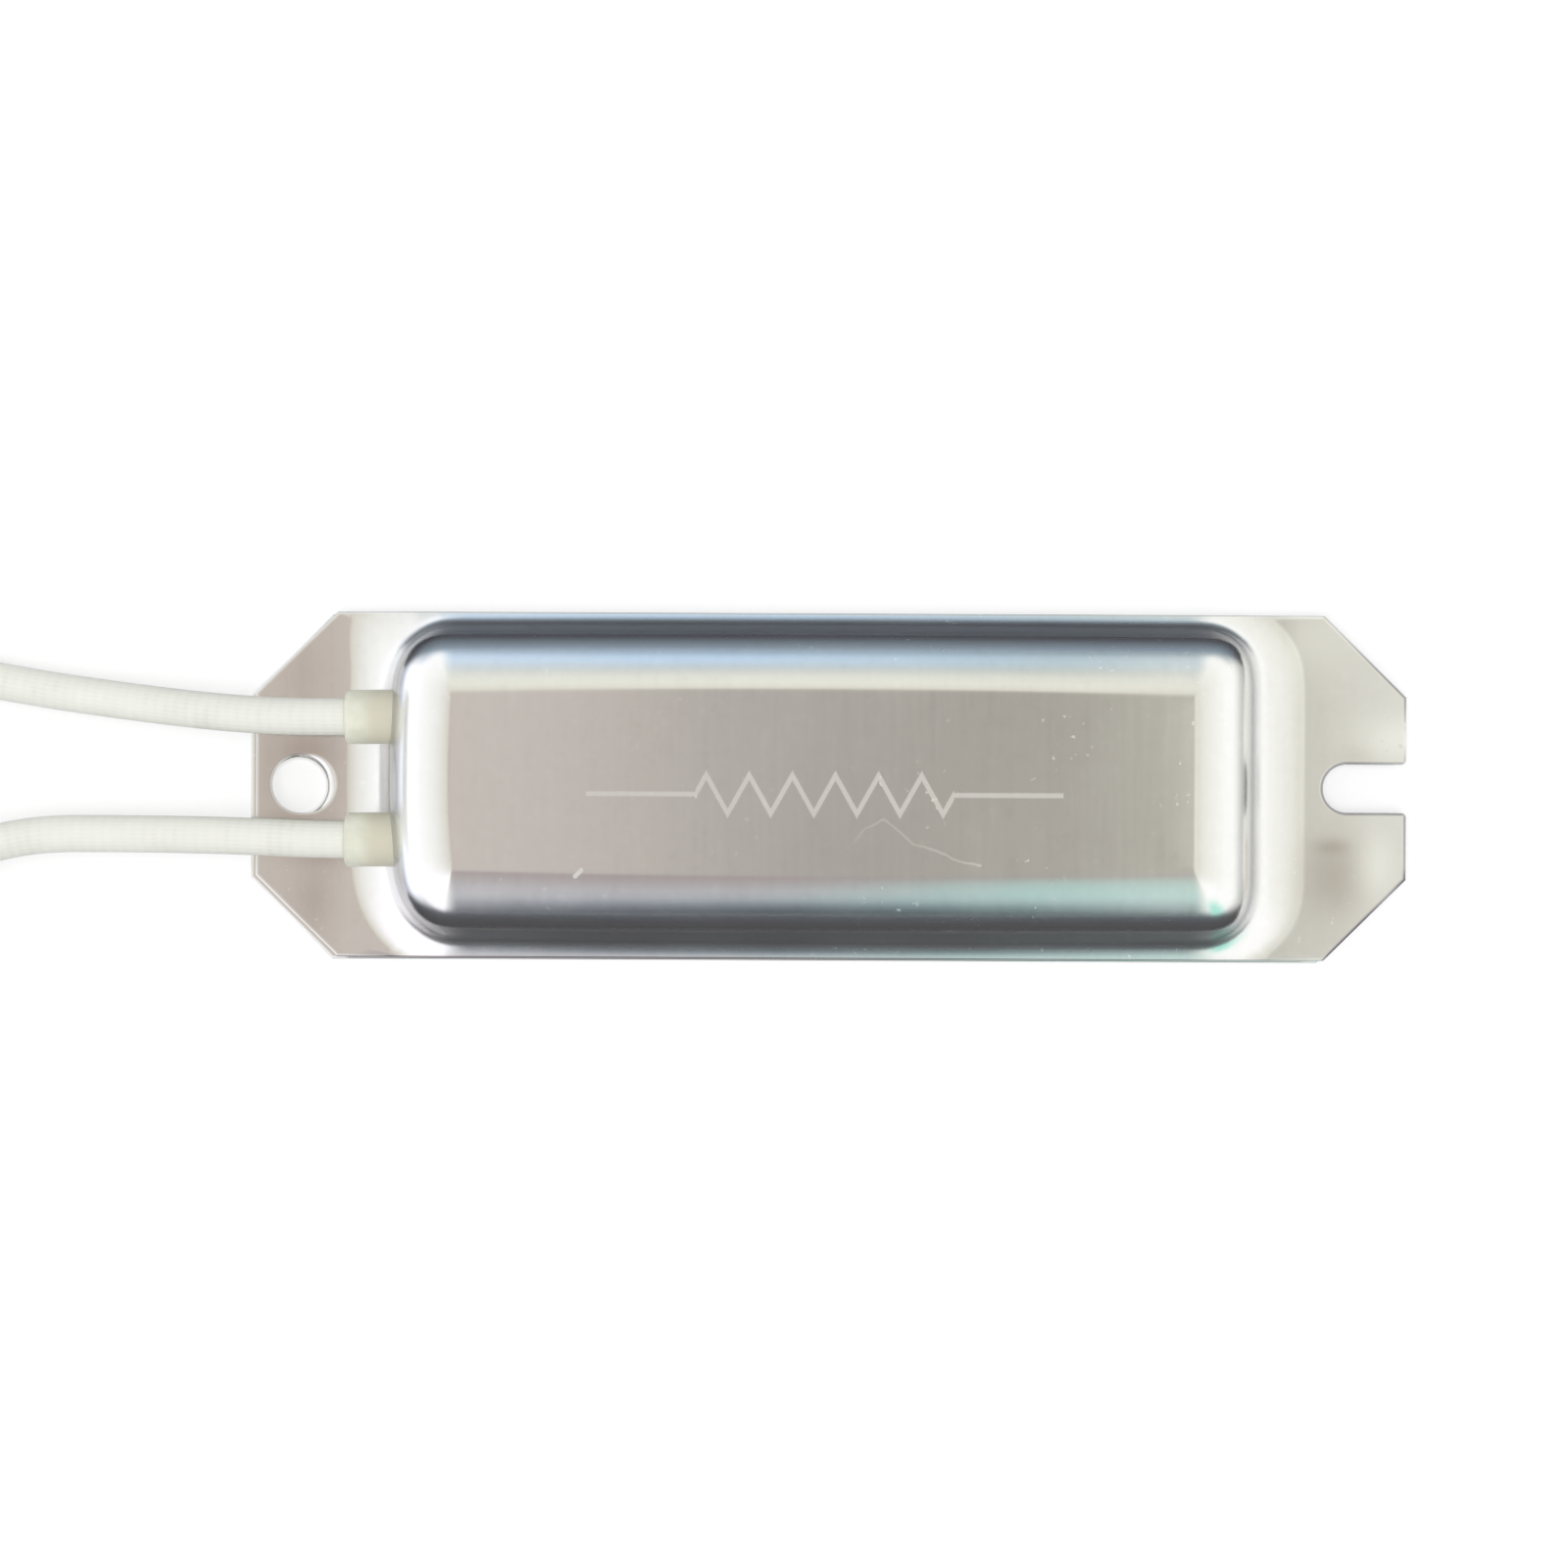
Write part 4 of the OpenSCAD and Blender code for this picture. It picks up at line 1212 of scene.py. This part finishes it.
inner_finishes = {
    "potting_cement": (("cement_filling",),
                       (0.60, 0.59, 0.54), (0.78, 0.77, 0.72), 1600, (0.8, 0.95), 0.0, 0.05),
    "mica": (("mica_sheet",),
             (0.40, 0.34, 0.22), (0.58, 0.52, 0.38), 220, (0.2, 0.4), 0.0, 0.01),
    "core_ceramic": (("core_back", "core_front"),
                     (0.80, 0.79, 0.74), (0.90, 0.89, 0.86), 700, (0.55, 0.7), 0.0, 0.01),
    "resistance_wire": (("winding_back", "winding_front"),
                        (0.20, 0.18, 0.17), (0.42, 0.39, 0.37), 900, (0.4, 0.6), 1.0, 0.0),
    "plated_steel": (("lead_cap_back", "lead_cap_front", "far_cap_back", "far_cap_front", "link_strip"),
                     (0.55, 0.55, 0.56), (0.70, 0.70, 0.71), 500, (0.25, 0.4), 1.0, 0.0),
    "tinned_strip": (("crimp_back", "crimp_front", "strands_back", "strands_front"),
                     (0.60, 0.59, 0.56), (0.76, 0.75, 0.72), 1200, (0.25, 0.4), 1.0, 0.0)
}
for name, (nodes, *facts) in inner_finishes.items():
    material = plain_finish(name, *facts)
    for node in nodes:
        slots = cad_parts[node].data.materials
        slots.clear()
        slots.append(material)
print("inner finishes:", len(inner_finishes))

# %% [markdown]
# ## Light
# Satin metal has hardly a look of its own: it shows the room. An image of a room could be put
# round it, but this way needs no file and each side can be set apart. From above, a face that
# slopes by some angle shows the part of the room at twice that angle from straight up. So the room
# is written as colours over that angle, one scale for each side, and only reflections see it.
# Nearly straight up is the ceiling, which the flat faces show, with colours over the direction
# along the case. The rest of the light is plain: an even grey sky and a soft lamp from above.


# %% What the metal mirrors
def seen(*colour):
    """Light that this metal mirrors as a screen colour from 0 to 255: the screen's curve undone, and
    divided by the metal's own share."""
    c = np.array(colour) / 255
    return tuple((np.where(c > 0.04045, ((c + 0.055) / 1.055) ** 2.4, c / 12.92) / METAL).tolist())


def scale(t, value, stops, unit=1):
    """Mirrored colours over a value, straight between the stops."""
    return t.ramp(value, [(place * unit, seen(*colour)) for place, colour in stops], "LINEAR")


CEILING = [(-0.19, (176, 160, 150)), (-0.147, (183, 169, 160)), (-0.13, (198, 190, 184)),
           (-0.09, (200, 193, 188)), (-0.06, (193, 186, 182)), (-0.025, (174, 169, 163)),
           (0.015, (162, 159, 153)), (0.05, (160, 157, 151)), (0.085, (166, 163, 155)),
           (0.115, (160, 157, 149)), (0.14, (186, 183, 171)), (0.16, (198, 196, 184)),
           (0.168, (212, 210, 197)), (0.175, (238, 237, 228)), (0.185, (252, 253, 251))]
ROOM = {
    "back": [(0, (190, 186, 176)), (10, (216, 213, 203)), (22, (229, 230, 220)), (34, (223, 225, 216)),
             (44, (207, 211, 207)), (54, (188, 202, 212)), (64, (190, 215, 238)), (73, (187, 213, 238)),
             (82, (158, 180, 203)), (90, (140, 159, 175)), (97, (124, 139, 152)), (180, (84, 85, 91))],
    "back_right": [(0, (195, 193, 182)), (10, (218, 216, 205)), (22, (228, 228, 218)),
                   (36, (217, 219, 209)), (47, (190, 196, 189)), (58, (164, 184, 187)),
                   (68, (160, 182, 187)), (78, (158, 179, 186)), (89, (128, 146, 150)),
                   (97, (100, 113, 116)), (180, (72, 73, 76))],
    "front": [(0, (166, 158, 155)), (14, (162, 152, 153)), (24, (168, 161, 162)), (38, (176, 172, 177)),
              (52, (164, 163, 170)), (60, (140, 141, 151)), (68, (108, 113, 123)), (78, (82, 86, 96)),
              (87, (75, 79, 88)), (100, (81, 83, 88)), (180, (72, 70, 74))],
    "front_right": [(0, (164, 160, 154)), (12, (162, 159, 153)), (24, (168, 194, 189)),
                    (36, (166, 204, 198)), (50, (153, 201, 196)), (60, (130, 176, 173)),
                    (68, (99, 140, 139)), (78, (74, 107, 108)), (87, (66, 90, 92)),
                    (100, (78, 93, 95)), (180, (66, 70, 71))],
    "left": [(0, (197, 189, 181)), (10, (213, 209, 200)), (20, (222, 221, 213)), (29, (233, 233, 230)),
             (40, (239, 240, 238)), (50, (246, 247, 246)), (60, (251, 252, 252)), (76, (256, 257, 259)),
             (88, (276, 279, 284)), (115, (276, 279, 284)), (180, (200, 206, 216))],
    "right": [(0, (180, 177, 166)), (9, (202, 199, 187)), (10.6, (238, 239, 233)),
              (13, (222, 221, 211)), (17, (223, 222, 212)), (26, (231, 232, 224)),
              (44, (240, 241, 235)), (63, (249, 250, 247)), (85, (254, 255, 253)),
              (97, (240, 241, 238)), (180, (190, 192, 190))]
}
WHITE, MINT = (*seen(255, 255, 255), 1), (*seen(165, 232, 217), 1)
LEAD_GLINT = (*seen(264, 262, 268), 1)
print("scales of the room:", {name: len(stops) for name, stops in ROOM.items()})

# %% [markdown]
# A world shader gets the direction of each ray as its coordinate. The height of that direction gives
# the angle from straight up, and its two other numbers tell which sides it points to.


# %% The room
def room(t, x, y, z):
    """Colour of the room in a direction. Two scales of a long side are mixed by the direction along
    the case. The sides are mixed by how far the direction points to each, and the ends reach round
    further high up than low down. Two lights stand in front, one by each corner, and the ceiling
    lies inside a cone of ten degrees."""
    polar = z.math("ARCCOSINE") * (180 / math.pi)
    scales = {name: scale(t, polar, stops) for name, stops in ROOM.items()}
    ends = t.mix(x.between(-0.02, 0.02), scales["left"], scales["right"])
    back = t.mix(x.between(0.02, 0.1), scales["back"], scales["back_right"])
    front = t.mix(x.between(0.01, 0.08), scales["front"], scales["front_right"])
    sides = t.mix(y.between(-0.02, 0.02), front, back)
    sideways = (y * y) / (x * x + y * y + 1e-6)
    share = sideways.between(0.18, 0.52)
    share = share * (1 - abs(x).between(0.115, 0.195) * polar.between(94, 76))
    around = t.mix(share, ends, sides)
    glint = t.mix(polar.between(50, 74) * sideways.between(0.36, 0.8), WHITE, MINT)
    slot_corner = x.between(0.18, 0.4) * y.between(-0.05, -0.4) * polar.between(108, 90)
    around = t.mix(slot_corner, around, glint)
    lead_corner = x.between(-0.13, -0.3) * y.between(-0.05, -0.4) * polar.between(98, 82)
    around = t.mix(lead_corner, around, LEAD_GLINT)
    return t.mix(polar.between(8.5, 12.5), scale(t, x, CEILING), around)


# %% [markdown]
# Only reflections see the room. The camera sees plain white behind the part, and everything else is
# lit by an even grey sky, so that the room's colours stay off the leads and the bushings.

# %% World
world = bpy.data.worlds.new("room")
scene.world = world
t = Tree(world)
x, y, z = t.split(t.node("ShaderNodeTexCoord"))
plain = t.mix(t.ray("Is Camera Ray"), (0.62, 0.62, 0.62, 1), (1, 1, 1, 1))
colour = t.mix(t.ray("Is Glossy Ray"), plain, room(t, x, y, z))
light = t.node("ShaderNodeBackground", None, {"Color": colour, "Strength": 1.0})
t.finish(light, "ShaderNodeOutputWorld")
print("nodes in the world:", len(world.node_tree.nodes))

# %% [markdown]
# The table is a large card just under the part. A lit surface alone would look grey, so it glows
# for the camera and in reflections, and stays a plain surface for all other light.


# %% Table
def flat_card(name, half, z):
    """Level square card, its half width and height in metres. It belongs to the stage."""
    mesh = bpy.data.meshes.new(name)
    corners = [(-half, -half, z), (half, -half, z), (half, half, z), (-half, half, z)]
    mesh.from_pydata(corners, [], [(0, 1, 2, 3)])
    made = bpy.data.objects.new(name, mesh)
    scene.collection.objects.link(made)
    return made


table = flat_card("table", 3.0, -0.12 * MM)
white = bpy.data.materials.new("white_table")
t = Tree(white)
shown = t.ray("Is Camera Ray").at_least(t.ray("Is Glossy Ray")).at_least(t.ray("Is Transmission Ray"))
lit = t.node("ShaderNodeBsdfDiffuse", None, {"Color": (0.55, 0.55, 0.55, 1)})
glow = t.node("ShaderNodeEmission", None, {"Color": (1, 1, 1, 1), "Strength": shown * 0.5})
t.finish(t.node("ShaderNodeAddShader", None, {0: lit, 1: glow}))
table.data.materials.append(white)
print("table at", round(table.data.vertices[0].co.z / MM, 2), "mm")

# %% [markdown]
# A grey board lies on the table that only reflections see. Studios use such boards to give bright
# metal its dark lines: it is dark along the two long sides and light at the ends. Its colours run
# over the distance from the case, in millimetres. Two more lie under the case's two halves: light
# under the lead end, and dark under the slot end, a painted shadow, seen in reflections through the
# slot.

# %% Board
CASE_HALF = (49.5 * MM, 14.8 * MM)
BOARD = {
    "back": [(0, (56, 56, 60)), (1.7, (59, 60, 65)), (6, (70, 71, 77)), (10, (88, 92, 99)),
             (17, (104, 113, 121)), (31, (118, 130, 141)), (75, (132, 147, 161)),
             (500, (140, 157, 172))],
    "front": [(0, (72, 70, 72)), (5, (75, 74, 76)), (26, (81, 82, 86)), (85, (84, 89, 96)),
              (500, (86, 91, 100))],
    "left": [(0, (172, 178, 194)), (4, (180, 186, 202)), (10, (214, 219, 230)), (19, (266, 270, 278)),
             (500, (270, 274, 280))],
    "right": [(0, (168, 172, 170)), (4, (176, 181, 177)), (14, (202, 203, 200)), (60, (236, 237, 234)),
              (500, (248, 249, 246))]
}
# Light under the lead end; a painted shadow under the slot end.
UNDER_LEAD_END, SHADOW_UNDER_SLOT_END = (*seen(232, 232, 232), 1), (*seen(120, 118, 122), 1)
board = flat_card("grey_board", 1.0, -0.06 * MM)
grey = bpy.data.materials.new("grey_board")
t = Tree(grey)
x, y, _ = t.split(t.place())
past_x, past_y = ((abs(v) - half).at_least(0.0) for v, half in zip((x, y), CASE_HALF))
colour = {name: scale(t, past_y if name in ("back", "front") else past_x, stops, MM)
          for name, stops in BOARD.items()}
sides = t.mix(y.between(-0.002, 0.002), colour["front"], colour["back"])
ends = t.mix(x.between(-0.01, 0.01), colour["left"], colour["right"])
around = t.mix((past_y / (past_x + past_y + 1e-5)).between(0.3, 0.7), ends, sides)
beneath = t.mix(x.between(-0.01, 0.01), UNDER_LEAD_END, SHADOW_UNDER_SLOT_END)
around = t.mix((past_x + past_y).between(0, 0.3 * MM), beneath, around)
t.finish(t.node("ShaderNodeEmission", None, {"Color": around, "Strength": 1.0}))
board.data.materials.append(grey)
board.visible_camera = board.visible_diffuse = board.visible_shadow = False
board.visible_transmission = board.visible_volume_scatter = False
print("board seen in reflections only:", not board.visible_camera and board.visible_glossy)

# %% [markdown]
# A soft lamp from above gives the leads and the bushings their gentle shading. It is hidden from
# reflections, because the room already says what the metal mirrors.

# %% Lamp
lamp_data = bpy.data.lights.new("overhead", "SUN")
lamp_data.energy = 1.25
lamp_data.angle = math.radians(40)
lamp = bpy.data.objects.new("overhead", lamp_data)
lamp.location = (0, 0, 0.5)
lamp.rotation_euler = (math.radians(4), math.radians(-3), 0)
lamp.visible_glossy = False
scene.collection.objects.link(lamp)

scene.view_settings.view_transform = "Standard"
print("lamp", lamp_data.energy, "view", scene.view_settings.view_transform)
